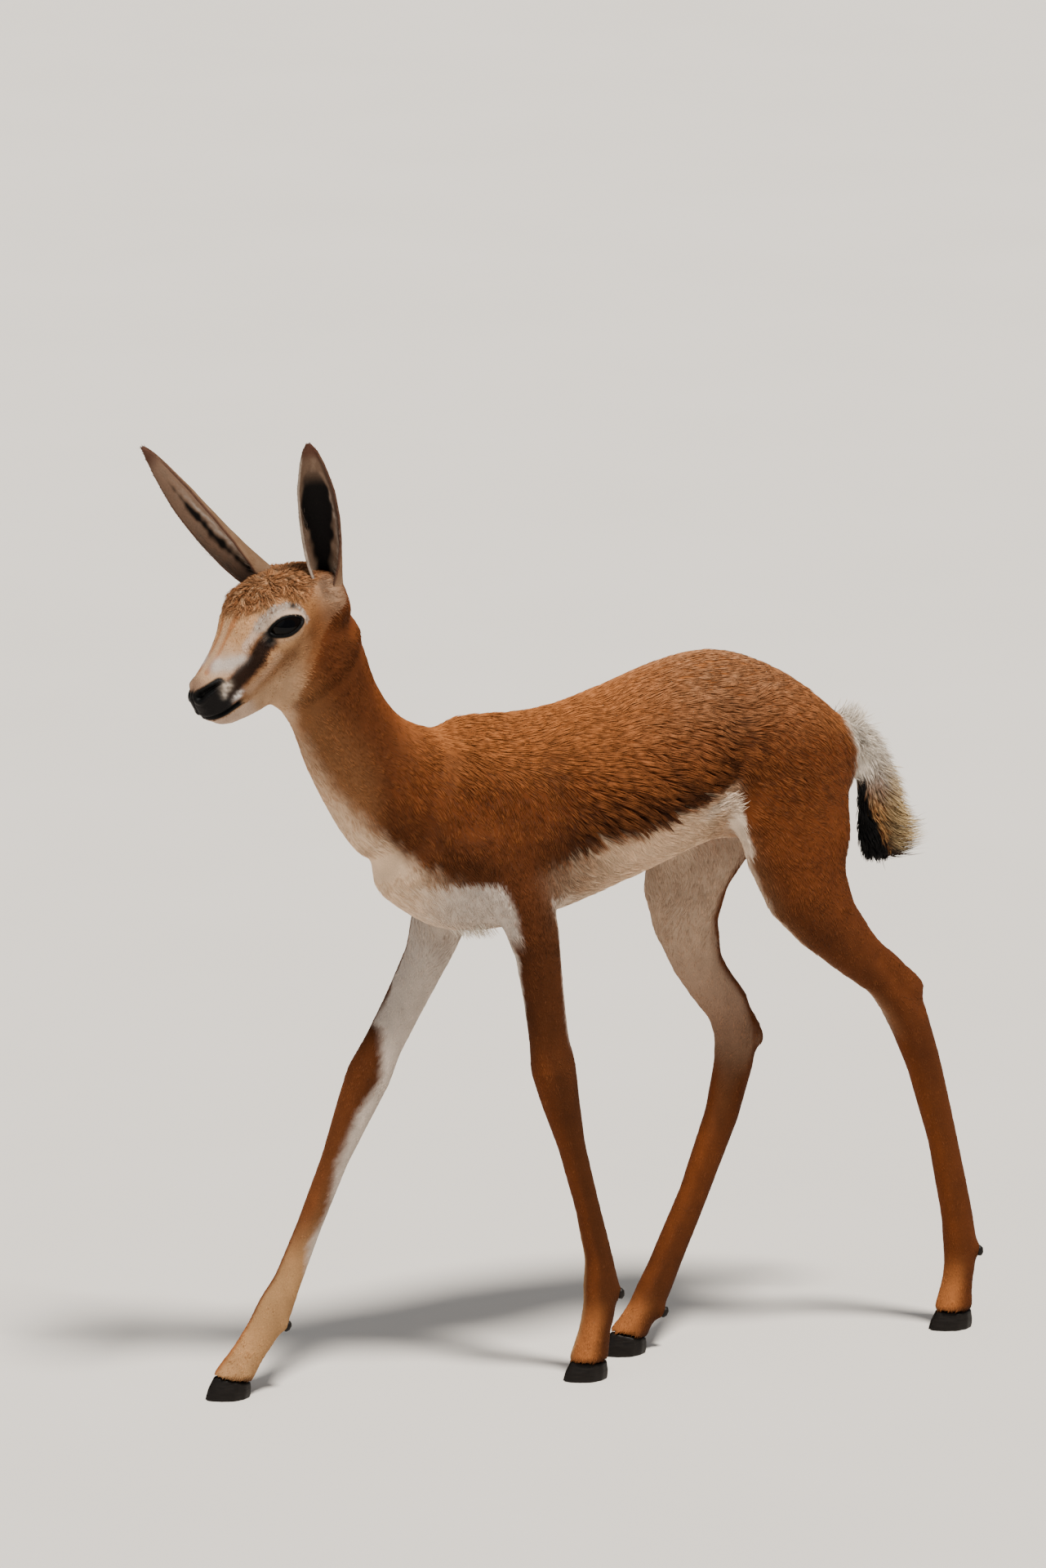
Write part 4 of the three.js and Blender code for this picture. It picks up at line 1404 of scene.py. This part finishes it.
def bare_skin(points):
    """1 on the nose leather, the lips, the lids and inside the nostrils, where no hair grows."""
    places = on_head(points)
    f, _, g = places.T
    mouth = g - at(f, MOUTH_LINE)
    nose = nose_leather(f, g, (61, 65), (5.0, 2.0))
    lips = step(2.6, 1.6, np.abs(mouth + 0.5)) * step(55, 62, f)
    _, from_nostril = along_line(both_sides(places), NOSTRIL["back"], NOSTRIL["front"])
    bare = np.maximum.reduce([nose, lips, step(5.6, 4.4, from_nostril)])
    for side in SIDES.values():
        _, _, away, facing = on_eye(places, side)
        near = np.linalg.norm(places - EYE_CENTRE * [1, side, 1], axis=1) < 21
        bare = np.maximum(bare, near * (facing > 0.1) * step(2.6, 1.8, away))
    return bare


def lower_chest(ahead, up):
    """1 on the lower shoulder and breast, where the coat is as short and sleek as on the legs."""
    return step(62, 100, ahead) * step(486, 440, up - 0.35 * np.maximum(ahead - 120, 0))


def crown_share(points, share):
    """1 on the shaggy crown between the ears."""
    f, _, g = on_head(points).T
    return share["head"] * step(-3, 3, g - at(f, CROWN_HAIR_EDGE)) * step(18, 8, f) * step(-62, -44, f)


def coat_values(points, normals, shares):
    """Length, width, lift, number for each square millimetre and how far tips lean together."""
    ahead, _, up = body_places(points).T
    share = by_kind(shares)
    values = shares[:, :-1] @ coat_table / np.maximum(shares[:, :-1].sum(1), 0.01)[:, None]
    length, width, lift, number, pull = values.T
    above = up - at(ahead, BROWN_EDGE)
    flank = share["trunk"] * step(-110, -70, ahead) * step(140, 90, ahead)
    haunch = np.exp(-(((ahead + 132) / 26) ** 2 + ((up - 468) / 17) ** 2)) * share["thigh"]
    crown = crown_share(points, share)
    here = {
        "low flank": flank * step(70, 15, above) * step(-6, 2, above),
        "lower chest": share["trunk"] * lower_chest(ahead, up),
        "spine": share["trunk"] * step(0.7, 0.95, normals[:, 2]),
        "haunch": haunch,
        "curls": haunch * np.maximum(np.sin(up * 0.9 + 2.2 * ripples(points, 26, 47)), 0),
        "belly": share["trunk"] * step(2, -8, above),
        "face": share["head"] * step(20, 45, on_head(points)[:, 0]),
        "eyelids": step(26, 17, eye_distance(points)),
        "crown": crown,
    }
    for name, (longer, wider, higher) in COAT_CHANGES.items():
        length = length * (1 + longer * here[name])
        width = width * (1 + wider * here[name])
        lift = lift * (1 + higher * here[name])
    pull = pull + 0.15 * here["low flank"] + 0.35 * crown
    number = number * (1 + 0.35 * crown) * (1 - bare_skin(points)) * step(8, 13, up)
    return length, width, lift, number, np.clip(pull, 0, 0.85)


# %% The body's tufts
COAT_SHARE = 0.9
LOCK = 9
dice = np.random.default_rng(11)

centre_shares = skin_shares[skin_surface.corners].mean(1)
centre_normals = unit(skin_surface.normals[skin_surface.corners].mean(1))
thickness = coat_values(skin_surface.centres, centre_normals, centre_shares)[3]
root = skin_surface.roots(thickness * COAT_SHARE, dice)
root_points = root["points"]
root_share = by_kind(root["shares"])
root_ahead, root_left, root_up = body_places(root_points).T
length, width, lift, _, pull = coat_values(root_points, root["normals"], root["shares"])
crown = crown_share(root_points, root_share)
count = len(length)
swirl = 0.22 * ripples(root_points, 55, 41) + 0.16 * ripples(root_points, 18, 43)
wild = dice.normal(size=count) * (0.09 + 0.48 * crown)
lie = turned(unit(root["lean"]), root["normals"], swirl + wild + 0.75 * crown * ripples(root_points, 16, 45))
length = length * dice.uniform(0.78, 1.18, count)
width = width * dice.uniform(0.75, 1.2, count)
lie, length, luck = gather(root, lie, length, dice, LOCK, pull)
lift = lift * (0.72 + 0.56 * luck) * dice.uniform(0.8, 1.2, count)
print("tufts in all:", count, "mean length, mm:", round(length.mean(), 1))

# %% Tones of the body's tufts
LEG_COLUMNS = slice(4, 12)

tone = paint(root_points, root["normals"], root["shares"])
pallor = step(0.28, 0.55, tone[:, 1])
sleek = np.maximum.reduce([
    root["shares"][:, LEG_COLUMNS].sum(1) * step(470, 400, root_up),
    root_share["head"] * (1 - crown),
    0.75 * root_share["neck"],
    0.8 * root_share["trunk"] * lower_chest(root_ahead, root_up),
])
lock_tone = 1 + (1 - 0.6 * sleek) * (0.6 * (luck - 0.5) + 0.12 * dice.normal(size=count)) * (1 - 0.7 * pallor)
tone = tone * lock_tone[:, None]
deep = tone * (0.45 + 0.47 * pallor + 0.33 * sleek * (1 - pallor))[:, None]
# tips warmer on the top of the trunk, partly the coat's own golden tips and partly painted light
top = step(0.0, 0.8, root["normals"][:, 2]) * root_share["trunk"]
warm = (1 - pallor) * step(0.04, 0.12, tone[:, 0]) * (0.30 + 0.25 * luck)
warm = warm * (0.6 + 0.9 * top) * (1 - 0.5 * sleek)
# painted sheen: paler tips on the top of the rump
painted_sheen = 0.5 * top * np.exp(-((root_ahead + 85) / 70) ** 2) * (0.6 + 0.8 * luck)
pale = layered(tone * 1.12, [
    (np.clip(warm, 0, 0.9), TAN * 1.2),
    (painted_sheen * (1 - pallor), (0.60, 0.36, 0.21)),
])
print("mean tone at the tips:", pale.mean(0).round(3))

# %% The coat's pieces
TUFT_LIMIT = 19500
COAT_GROUPS = {
    "head": ["head"], "neck": ["neck"], "trunk": ["trunk"], "tail": ["tail"],
    "fore_leg": CHAINS["fore"], "hind_leg": CHAINS["hind"],
}


def split_coat():
    """The coat's pieces, by part and side, none above the limit."""
    main = root["shares"][:, :-1].argmax(1)
    for group, kinds in COAT_GROUPS.items():
        inside = np.isin(main, [KIND.index(kind) for kind in kinds])
        halves = {f"{word}_{group}_coat": inside & (np.sign(root_left + 1e-6) == sign)
                  for word, sign in SIDES.items()}
        if group == "tail":
            halves = {"tail_coat": inside}
        for name, half in halves.items():
            members = np.flatnonzero(half)
            members = members[np.argsort(root_points[members, 0])]
            pieces = int(np.ceil(len(members) / TUFT_LIMIT))
            for number, chunk in enumerate(np.array_split(members, max(pieces, 1))):
                yield name + (f"_{number + 1}" if pieces > 1 else ""), group, chunk


coat_pieces = []
for name, group, chunk in split_coat():
    part = {key: value[chunk] for key, value in root.items()}
    looks = (values[chunk] for values in (lie, length, width, lift, deep, pale))
    piece = build_tufts(name, part, *looks)
    {"fore_leg": "leg", "hind_leg": "leg", "tail": "tail"}.get(group, "coat")
    coat_pieces.append(piece)
print("coat pieces:", len(coat_pieces))

# %% [markdown]
# ## Long hair
# A few places grow longer hair that breaks the outline: the fringe that makes most of the tail's width, the
# white crest where the tail leaves the rump, the wisps at the flank's fold, and the breast between the legs.

# %% Patches of long hair
def patch_roots(share, number):
    """Roots of a patch: each triangle's share of it and the tufts to grow."""
    density = share * number / max((share * skin_surface.areas).sum(), 1e-9)
    return skin_surface.roots(density, dice)


def near_place(centre, radius):
    """1 on the triangles close to a place of the body, fading to 0 at the radius."""
    distance = np.linalg.norm(skin_surface.centres - place(*centre), axis=1)
    return step(radius * MM, 0.4 * radius * MM, distance)


def rows(values, count):
    return np.tile(np.asarray(values, dtype=float), (count, 1))


def long_hair(name, roots, lie, length, width, lift, tones, spread_by=0.18, curl=0.3, bend=0.0):
    count = len(roots["points"])
    lie = unit(lie - off_skin(lie, roots["normals"]) * 0.6)
    lie = turned(lie, roots["normals"], dice.normal(size=count) * spread_by)
    reach = length * dice.uniform(0.6, 1.15, count)
    girth = width * dice.uniform(0.7, 1.3, count)
    luck = 1 + 0.12 * dice.normal(size=(count, 1))
    lift = lift * dice.uniform(0.6, 1.4, count)
    deep, pale = (tone * luck for tone in tones)
    piece = build_tufts(name, roots, lie, reach, girth, lift, deep, pale, rings=3, curl=curl, bend=bend)
    coat_pieces.append(piece)
    return piece


# %% Fringe and crest of the tail
FRINGE_TUFTS = 3000
PATCH_TUFTS = 260
FRINGE_LENGTH = [(384, 17), (400, 22), (440, 19), (490, 12)]

on_tail = step(0.3, 0.7, centre_shares[:, KIND.index("tail")]) * step(-0.1, 0.4, centre_normals[:, 0])
fringe = patch_roots(on_tail * step(0.500, 0.480, skin_surface.centres[:, 2]), FRINGE_TUFTS)
up = body_places(fringe["points"])[:, 2]
rear = step(-0.2, 0.6, fringe["normals"][:, 0])
lot = dice.random(len(up))
gold = step(475, 445, up) * step(388, 403, up) * rear * (lot < 0.75)
dark = step(465, 440, up) * rear * (lot > 0.82)
shaded = step(452, 412, up) * (0.55 + 0.45 * (lot > 0.4))
fringe_tone = paint(fringe["points"], fringe["normals"], fringe["shares"])
fringe_tone = layered(fringe_tone, [(np.maximum(0.8 * dark, 0.85 * shaded), (0.035, 0.018, 0.011))])
fringe_tip = layered(fringe_tone * 1.1, [(gold, (0.95, 0.70, 0.36))])
fringe_lie = fringe["lean"] + (0.45 + 0.9 * rear)[:, None] * np.array([1.0, 0, 0])
fringe_bend = (0.75 * step(440, 392, up) * rear)[:, None] * np.array([0.8, 0, 0.75])
piece = long_hair("tail_fringe", fringe, fringe_lie, at(up, FRINGE_LENGTH), 0.45, 0.25 + 0.25 * rear,
                  (fringe_tone, fringe_tip), bend=fringe_bend)

crest = patch_roots(near_place((-207, 0, 497), 15), PATCH_TUFTS)
crest_lie = rows(heading(-0.7, 0.05, 0.75), len(crest["points"]))
crest_lie = crest_lie + 0.35 * dice.normal(size=crest_lie.shape)
piece = long_hair("tail_crest", crest, crest_lie, 10.5, 0.55, 0.8, (WHITE * 0.85, WHITE * 1.1), curl=0.15)

# %% Wisps of the flanks and breast
centre_pallor = step(0.30, 0.40, paint(skin_surface.centres, centre_normals, centre_shares)[:, 1])
FLANK_WISPS = {"left": (-80, 46, 452), "right": (-52, -46, 452)}
for word, centre in FLANK_WISPS.items():
    wisp = patch_roots(near_place(centre, 20) * centre_pallor, PATCH_TUFTS)
    wisp_lie = rows(heading(-0.9, 0.1 * np.sign(centre[1]), 0.15), len(wisp["points"]))
    tone = paint(wisp["points"], wisp["normals"], wisp["shares"])
    piece = long_hair(f"{word}_flank_wisp", wisp, wisp_lie, 10.0, 0.5, 0.3, (tone * 0.95, tone * 1.05),
                      spread_by=0.3)

breast = patch_roots(near_place((118, 4, 378), 24), PATCH_TUFTS)
breast_lie = rows(heading(-0.5, 0, -0.8), len(breast["points"]))
piece = long_hair("breast_wisp", breast, breast_lie, 9.0, 0.45, 0.45, (WHITE * 0.9, WHITE * 1.08),
                  spread_by=0.35, curl=0.1)

# %% [markdown]
# ## Hair of the ears
# The back of an ear is covered with short close hair that runs to its tip. Inside, only the edges are
# haired, with longer pale hair that guards the dark hollow.

# %% Ear colours
EAR_STOPS = [0, 0.15, 0.35, 0.6, 0.78, 0.86]
EAR_LOOK = {
    # The left ear's pale rim is painted light, and its far rim and shade are painted shade; the right ear's
    # glow brightens its inner wall as painted light.
    "left": {"dark": [0.14, 0.18, 0.38, 0.76, 0.55, 0], "middle": 0.18, "streak": -0.62, "streak_share": 0.55,
             "rim": (0.42, 0.34, 0.28), "far_rim": (0.07, 0.03, 0.02), "foot": (0.33, 0.24, 0.17),
             "pit": (0.20, 0.125, 0.08), "shade": 0.75, "glow": 1.0},
    "right": {"dark": [0.0, 0.02, 0.11, 0.12, 0.01, 0], "middle": 0.40, "streak": 0.10, "streak_share": 0.95,
              "rim": (0.08, 0.032, 0.02), "far_rim": (0.08, 0.032, 0.02), "foot": (0.20, 0.13, 0.09),
              "pit": (0.05, 0.026, 0.019), "shade": 0.0, "glow": 1.6},
}
EAR_SHADE = 0.85


def ear_coordinates(ear, side):
    """Each vertex's place along and across the unrolled leaf, and 1 where it faces into the cup."""
    grid = np.zeros((len(ear.data.vertices), 2))
    corners = read(ear.data.loops, "vertex_index", 1, np.int32)[:, 0]
    grid[corners] = read(ear.data.uv_layers.active.data, "uv", 2)
    along = ear_height(grid[:, 1])
    radius, _, sway = ear_section(side, along)
    start, axis, length, opening = ear_lines(side)
    centre = start + ((along * length)[:, None] * axis + (radius + sway)[:, None] * opening) * MM
    facing = (normals_of(ear) * unit(centre - points_of(ear))).sum(1)
    return np.stack([along, grid[:, 0] * 2 - 1, step(-0.3, 0.3, facing)], 1)


def paint_ear(word, points, leaf):
    """The back of the ear, its cup with a dark hollow and a pale streak, and the two rims."""
    along, share, inside = leaf.T
    look = EAR_LOOK[word]
    grain = ripples(points, 9, 61)
    outer = layered(rows((0.17, 0.095, 0.052), len(along)), [
        (0.22 * step(0.0, 0.9, grain), (0.27, 0.175, 0.11)),
        (step(0.26, 0.05, along), (0.34, 0.22, 0.14)),
        (0.8 * step(0.84, 0.97, along), (0.07, 0.024, 0.015)),
    ])
    half_dark = np.interp(along, EAR_STOPS, look["dark"])
    hollow = step(0.12, -0.12, np.abs(share - look["middle"]) - half_dark + 0.06 * grain)
    streak = np.exp(-((share - look["streak"] - 0.05 * grain) / 0.11) ** 2) * step(0.10, 0.3, along)
    streak = streak * step(0.84, 0.6, along) * (0.75 + 0.5 * ripples(points, 5, 63))
    shade = look["shade"] * step(-0.45, -0.8, share) * step(0.28, 0.42, along)
    inner = layered(rows((0.17, 0.105, 0.07), len(along)) * look["glow"], [
        (0.6 * step(0.1, 0.9, grain), (0.25, 0.165, 0.115)),
        (step(0.34, 0.10, along), look["foot"]),
        (0.85 * step(0.0, -0.35, share) * step(0.40, 0.24, along), look["pit"]),
        (hollow * step(0.86, 0.70, along), (0.003, 0.002, 0.002)),
        (look["streak_share"] * streak, (0.46, 0.37, 0.31)),
        (shade, (0.05, 0.026, 0.016)),
        (0.85 * step(0.86, 0.95, along), (0.09, 0.034, 0.022)),
    ])
    below_tip = step(0.93, 0.85, along)
    return layered(mix(outer, inner, inside), [
        # the two rims: on the left ear the near one is pale with painted light, the far one dark with painted
        # shade
        (0.8 * (step(0.93, 0.985, share) * below_tip), look["rim"]),
        (0.8 * (step(0.93, 0.985, -share) * below_tip), look["far_rim"]),
    ])


ear_surfaces = {}
for word, ear in ears.items():
    leaf = ear_coordinates(ear, word)
    set_colour(ear, "coat_colour", paint_ear(word, points_of(ear), leaf) * EAR_SHADE)
    ear_surfaces[word] = Surface(ear, {"leaf": leaf})
print("ear area, square mm:", round(ear_surfaces["left"].areas.sum()))


# %% Ear hair
def short_ear_hair(word, surface, leaf, axis):
    margin = leaf[:, 2] * np.maximum(step(0.55, 0.8, np.abs(leaf[:, 1])), step(0.72, 0.85, leaf[:, 0]))
    hair = surface.roots(0.5 * (1 - leaf[:, 2]) + 0.5 * margin, dice)
    count = len(hair["points"])
    lie = rows(axis, count)
    lie = unit(lie - off_skin(lie, hair["normals"]))
    lie = turned(lie, hair["normals"], 0.16 * dice.normal(size=count))
    tone = paint_ear(word, hair["points"], hair["leaf"])
    tone = tone * (1 + 0.12 * dice.normal(size=count))[:, None]
    length = dice.uniform(2.0, 3.4, count)
    width = dice.uniform(0.4, 0.65, count)
    return build_tufts(f"{word}_ear_coat", hair, lie, length, width, np.full(count, 0.13),
                       tone * 0.78, tone * 1.12)


def guard_hair(word, surface, leaf, axis, opening):
    guard = leaf[:, 2] * step(0.62, 0.8, np.abs(leaf[:, 1])) * step(0.62, 0.45, leaf[:, 0])
    hair = surface.roots(0.26 * guard, dice)
    count = len(hair["points"])
    lie = unit(axis + 0.30 * opening + 0.10 * dice.normal(size=(count, 3)))
    tone = rows((0.27, 0.21, 0.17), count) * dice.uniform(0.7, 1.2, (count, 1))
    length = dice.uniform(5, 9, count)
    return build_tufts(f"{word}_ear_guard_hair", hair, lie, length, np.full(count, 0.22),
                       np.full(count, 0.12), tone * 0.7, tone, rings=3)


for word, surface in ear_surfaces.items():
    _, axis, _, opening = ear_lines(word)
    leaf = surface.values["leaf"][surface.corners].mean(1)
    for piece in (short_ear_hair(word, surface, leaf, axis), guard_hair(word, surface, leaf, axis, opening)):
        coat_pieces.append(piece)
print("pieces with ear hair:", len(coat_pieces))

# %% [markdown]
# Lashes are the same tufts, set in a row along the upper lid and swept out over the eye.

# %% Lashes
LASHES = 22
for word, sign in SIDES.items():
    outward, forward, upward = eye_frame(sign)
    x = np.linspace(-0.86, 0.86, LASHES) * LID["half_length"]
    y = LID["upper"] * (1 - np.abs(x / LID["half_length"]) ** 1.7) ** (1 / 1.9) + 0.6
    level = np.sqrt(EYEBALL ** 2 - np.minimum(x ** 2 + y ** 2, 180))
    on_lid = EYE_CENTRE * [1, sign, 1] + x[:, None] * forward + y[:, None] * upward
    on_lid = on_lid + (level + 1.6)[:, None] * outward
    sweep = unit(outward + 0.55 * upward + (0.03 * x)[:, None] * forward)
    lash = {
        "points": from_head(on_lid),
        "normals": rows(upward @ head_axes, LASHES),
        "map": np.stack([np.linspace(0.05, 0.95, LASHES), np.full(LASHES, 0.5)], 1),
    }
    black = rows(BLACK, LASHES)
    droop = rows(-upward @ head_axes, LASHES) * 0.25
    length = dice.uniform(3.5, 5.2, LASHES)
    piece = build_tufts(f"{word}_lashes", lash, sweep @ head_axes, length, np.full(LASHES, 0.32),
                        np.full(LASHES, 0.1), black, black, rings=3, bend=droop)
    coat_pieces.append(piece)
print("coat pieces:", len(coat_pieces))

# %% [markdown]
# ## Finishes
# Fur shines softly and unevenly, so both skin and tufts take their colour from the markings and a little fine
# noise, with a rough surface. Where the skin is bare, on the nose and lips, it is smoother and a little wet.

# %% Shader expressions
SOCKETS = {"roughness": "Roughness", "shine": "Specular IOR Level"}


class Value:
    """A node's output that can be used in ordinary sums, each of which adds its Math node."""

    def __init__(self, finish, socket):
        self.finish = finish
        self.socket = socket

    def _math(self, operation, other, swap=False):
        first, second = (other, self) if swap else (self, other)
        return self.finish.node("ShaderNodeMath", {"operation": operation}, {0: first, 1: second})

    def __add__(self, other):
        return self._math("ADD", other)

    def __radd__(self, other):
        return self._math("ADD", other, True)

    def __sub__(self, other):
        return self._math("SUBTRACT", other)

    def __rsub__(self, other):
        return self._math("SUBTRACT", other, True)

    def __mul__(self, other):
        return self._math("MULTIPLY", other)

    def __rmul__(self, other):
        return self._math("MULTIPLY", other, True)

    def __truediv__(self, other):
        return self._math("DIVIDE", other)

    def __pow__(self, other):
        return self._math("POWER", other)


class Finish:
    """A material whose nodes are added one call at a time."""

    def __init__(self, name, **settings):
        self.material = bpy.data.materials.new(name)
        self.material.use_nodes = True
        self.tree = self.material.node_tree
        self.shader = self.tree.nodes["Principled BSDF"]
        for key, value in settings.items():
            self.set(SOCKETS[key], value)

    def node(self, kind, settings=None, inputs=None, output=0):
        made = self.tree.nodes.new(kind)
        for key, value in (settings or {}).items():
            setattr(made, key, value)
        for key, value in (inputs or {}).items():
            self.feed(made.inputs[key], value)
        return Value(self, made.outputs[output])

    def feed(self, socket, value):
        if isinstance(value, Value):
            self.tree.links.new(value.socket, socket)
        else:
            socket.default_value = value

    def set(self, name, value):
        self.feed(self.shader.inputs[name], value)

    def attribute(self, name, output="Color"):
        return self.node("ShaderNodeAttribute", {"attribute_name": name}, output=output)

    def places(self):
        return self.node("ShaderNodeTexCoord", output="Object")

    def noise(self, scale, detail=2.0, where=None):
        inputs = {"Scale": scale, "Detail": detail, "Vector": where or self.places()}
        return self.node("ShaderNodeTexNoise", inputs=inputs, output="Fac")

    def mixed(self, share, first, second):
        return self.node("ShaderNodeMix", {"data_type": "RGBA"}, {0: share, 6: first, 7: second}, output=2)

    def tinted(self, colour, amount):
        return self.node("ShaderNodeVectorMath", {"operation": "SCALE"}, {0: colour, 3: amount})

    def vector(self, operation, first, second, output=0):
        inputs = {0: first, 1: tuple(second)}
        return self.node("ShaderNodeVectorMath", {"operation": operation}, inputs, output)

    def range(self, value, low, high):
        inputs = {"Value": value, "From Min": low, "From Max": high}
        return self.node("ShaderNodeMapRange", {"interpolation_type": "SMOOTHSTEP"}, inputs)

    def bump(self, height, strength, distance):
        inputs = {"Height": height, "Strength": strength, "Distance": distance}
        return self.node("ShaderNodeBump", inputs=inputs)

    def dress(self, *pieces):
        for piece in pieces:
            piece.data.materials.clear()
            piece.data.materials.append(self.material)


# %% Coat finishes
layer = skin.data.attributes.new("bare", "FLOAT", "POINT")
layer.data.foreach_set("value", bare_skin(skin_points).astype(np.float32))

coat_skin = Finish("coat_skin", roughness=0.8, shine=0.08)
bare = coat_skin.attribute("bare", "Fac")
hair_grain = coat_skin.noise(950.0, 3.0)
coat_skin.set("Base Color", coat_skin.tinted(coat_skin.attribute("coat_colour"), 0.75 + 0.5 * hair_grain))
coat_skin.set("Roughness", 0.82 - 0.30 * bare)
leather = coat_skin.noise(620.0, 2.0)
relief = hair_grain * (1 - bare) + leather * bare
coat_skin.set("Normal", coat_skin.bump(relief, 0.55, 0.0006))
coat_skin.dress(skin)

hair = Finish("hair_tufts", roughness=0.6, shine=0.1)
streak = hair.noise(700.0, 1.0)
hair.set("Base Color", hair.tinted(hair.attribute("coat_colour"), 0.84 + 0.32 * streak))
hair.dress(*coat_pieces)

ear_skin = Finish("ear_skin", roughness=0.75, shine=0.12)
ear_grain = ear_skin.noise(800.0, 2.0)
ear_skin.set("Base Color", ear_skin.tinted(ear_skin.attribute("coat_colour"), 0.8 + 0.4 * ear_grain))
ear_skin.set("Normal", ear_skin.bump(ear_grain, 0.4, 0.0005))
ear_skin.dress(*ears.values())
print("coat finishes on", len(coat_pieces) + 3, "pieces")

# %% [markdown]
# An eye's pupil and iris are two level ovals, measured from the place on the ball that looks straight out.
# Horn has fine rings one above another, which is noise stretched along the ground.

# %% Eyes, horn and floor
PUPIL = (0.0068, 0.0044)
IRIS = (0.0118, 0.0112)


def oval(run, rise, halves):
    """1 on the edge of an oval, less inside it."""
    return ((run / halves[0]) ** 2 + (rise / halves[1]) ** 2) ** 0.5


for word, sign in SIDES.items():
    outward, forward, upward = eye_frame(sign)
    looking = from_head(EYE_CENTRE * [1, sign, 1] + outward * EYEBALL)
    eye = Finish(f"{word}_eye_gloss", roughness=0.04, shine=0.10)
    offset = eye.vector("SUBTRACT", eye.places(), looking)
    run = eye.vector("DOT_PRODUCT", offset, forward @ head_axes, "Value")
    rise = eye.vector("DOT_PRODUCT", offset, upward @ head_axes, "Value")
    pupil = oval(run, rise, PUPIL)
    edge = oval(run, rise, IRIS)
    fibres = eye.noise(900.0, 3.0)
    iris = eye.mixed(fibres, (0.001, 0.0006, 0.0005, 1), (0.004, 0.002, 0.0013, 1))
    inside = eye.mixed(eye.range(pupil, 0.92, 1.06), (0.001, 0.001, 0.0015, 1), iris)
    eye.set("Base Color", eye.mixed(eye.range(edge, 0.94, 1.04), inside, (0.003, 0.002, 0.002, 1)))
    eye.dress(eyes[word])

horn = Finish("black_horn", roughness=0.42, shine=0.14)
growth = horn.node("ShaderNodeMapping", inputs={"Vector": horn.places(), "Scale": (120, 120, 900)})
rings = horn.noise(1.0, 3.0, growth)
horn.set("Base Color", horn.mixed(rings, (0.003, 0.0025, 0.0025, 1), (0.012, 0.009, 0.007, 1)))
horn.set("Roughness", 0.32 + 0.3 * rings)
horn.set("Normal", horn.bump(rings, 0.5, 0.0005))
horn.dress(*claws)

ground = Finish("pale_floor", roughness=0.85)
speckle = ground.noise(3.0, 4.0)
ground.set("Base Color", ground.mixed(speckle, (0.70, 0.66, 0.61, 1), (0.76, 0.72, 0.67, 1)))
ground.dress(floor)
print("finishes done")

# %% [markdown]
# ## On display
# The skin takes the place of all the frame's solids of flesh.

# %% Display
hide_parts(*FLESH)
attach(skin, "root")
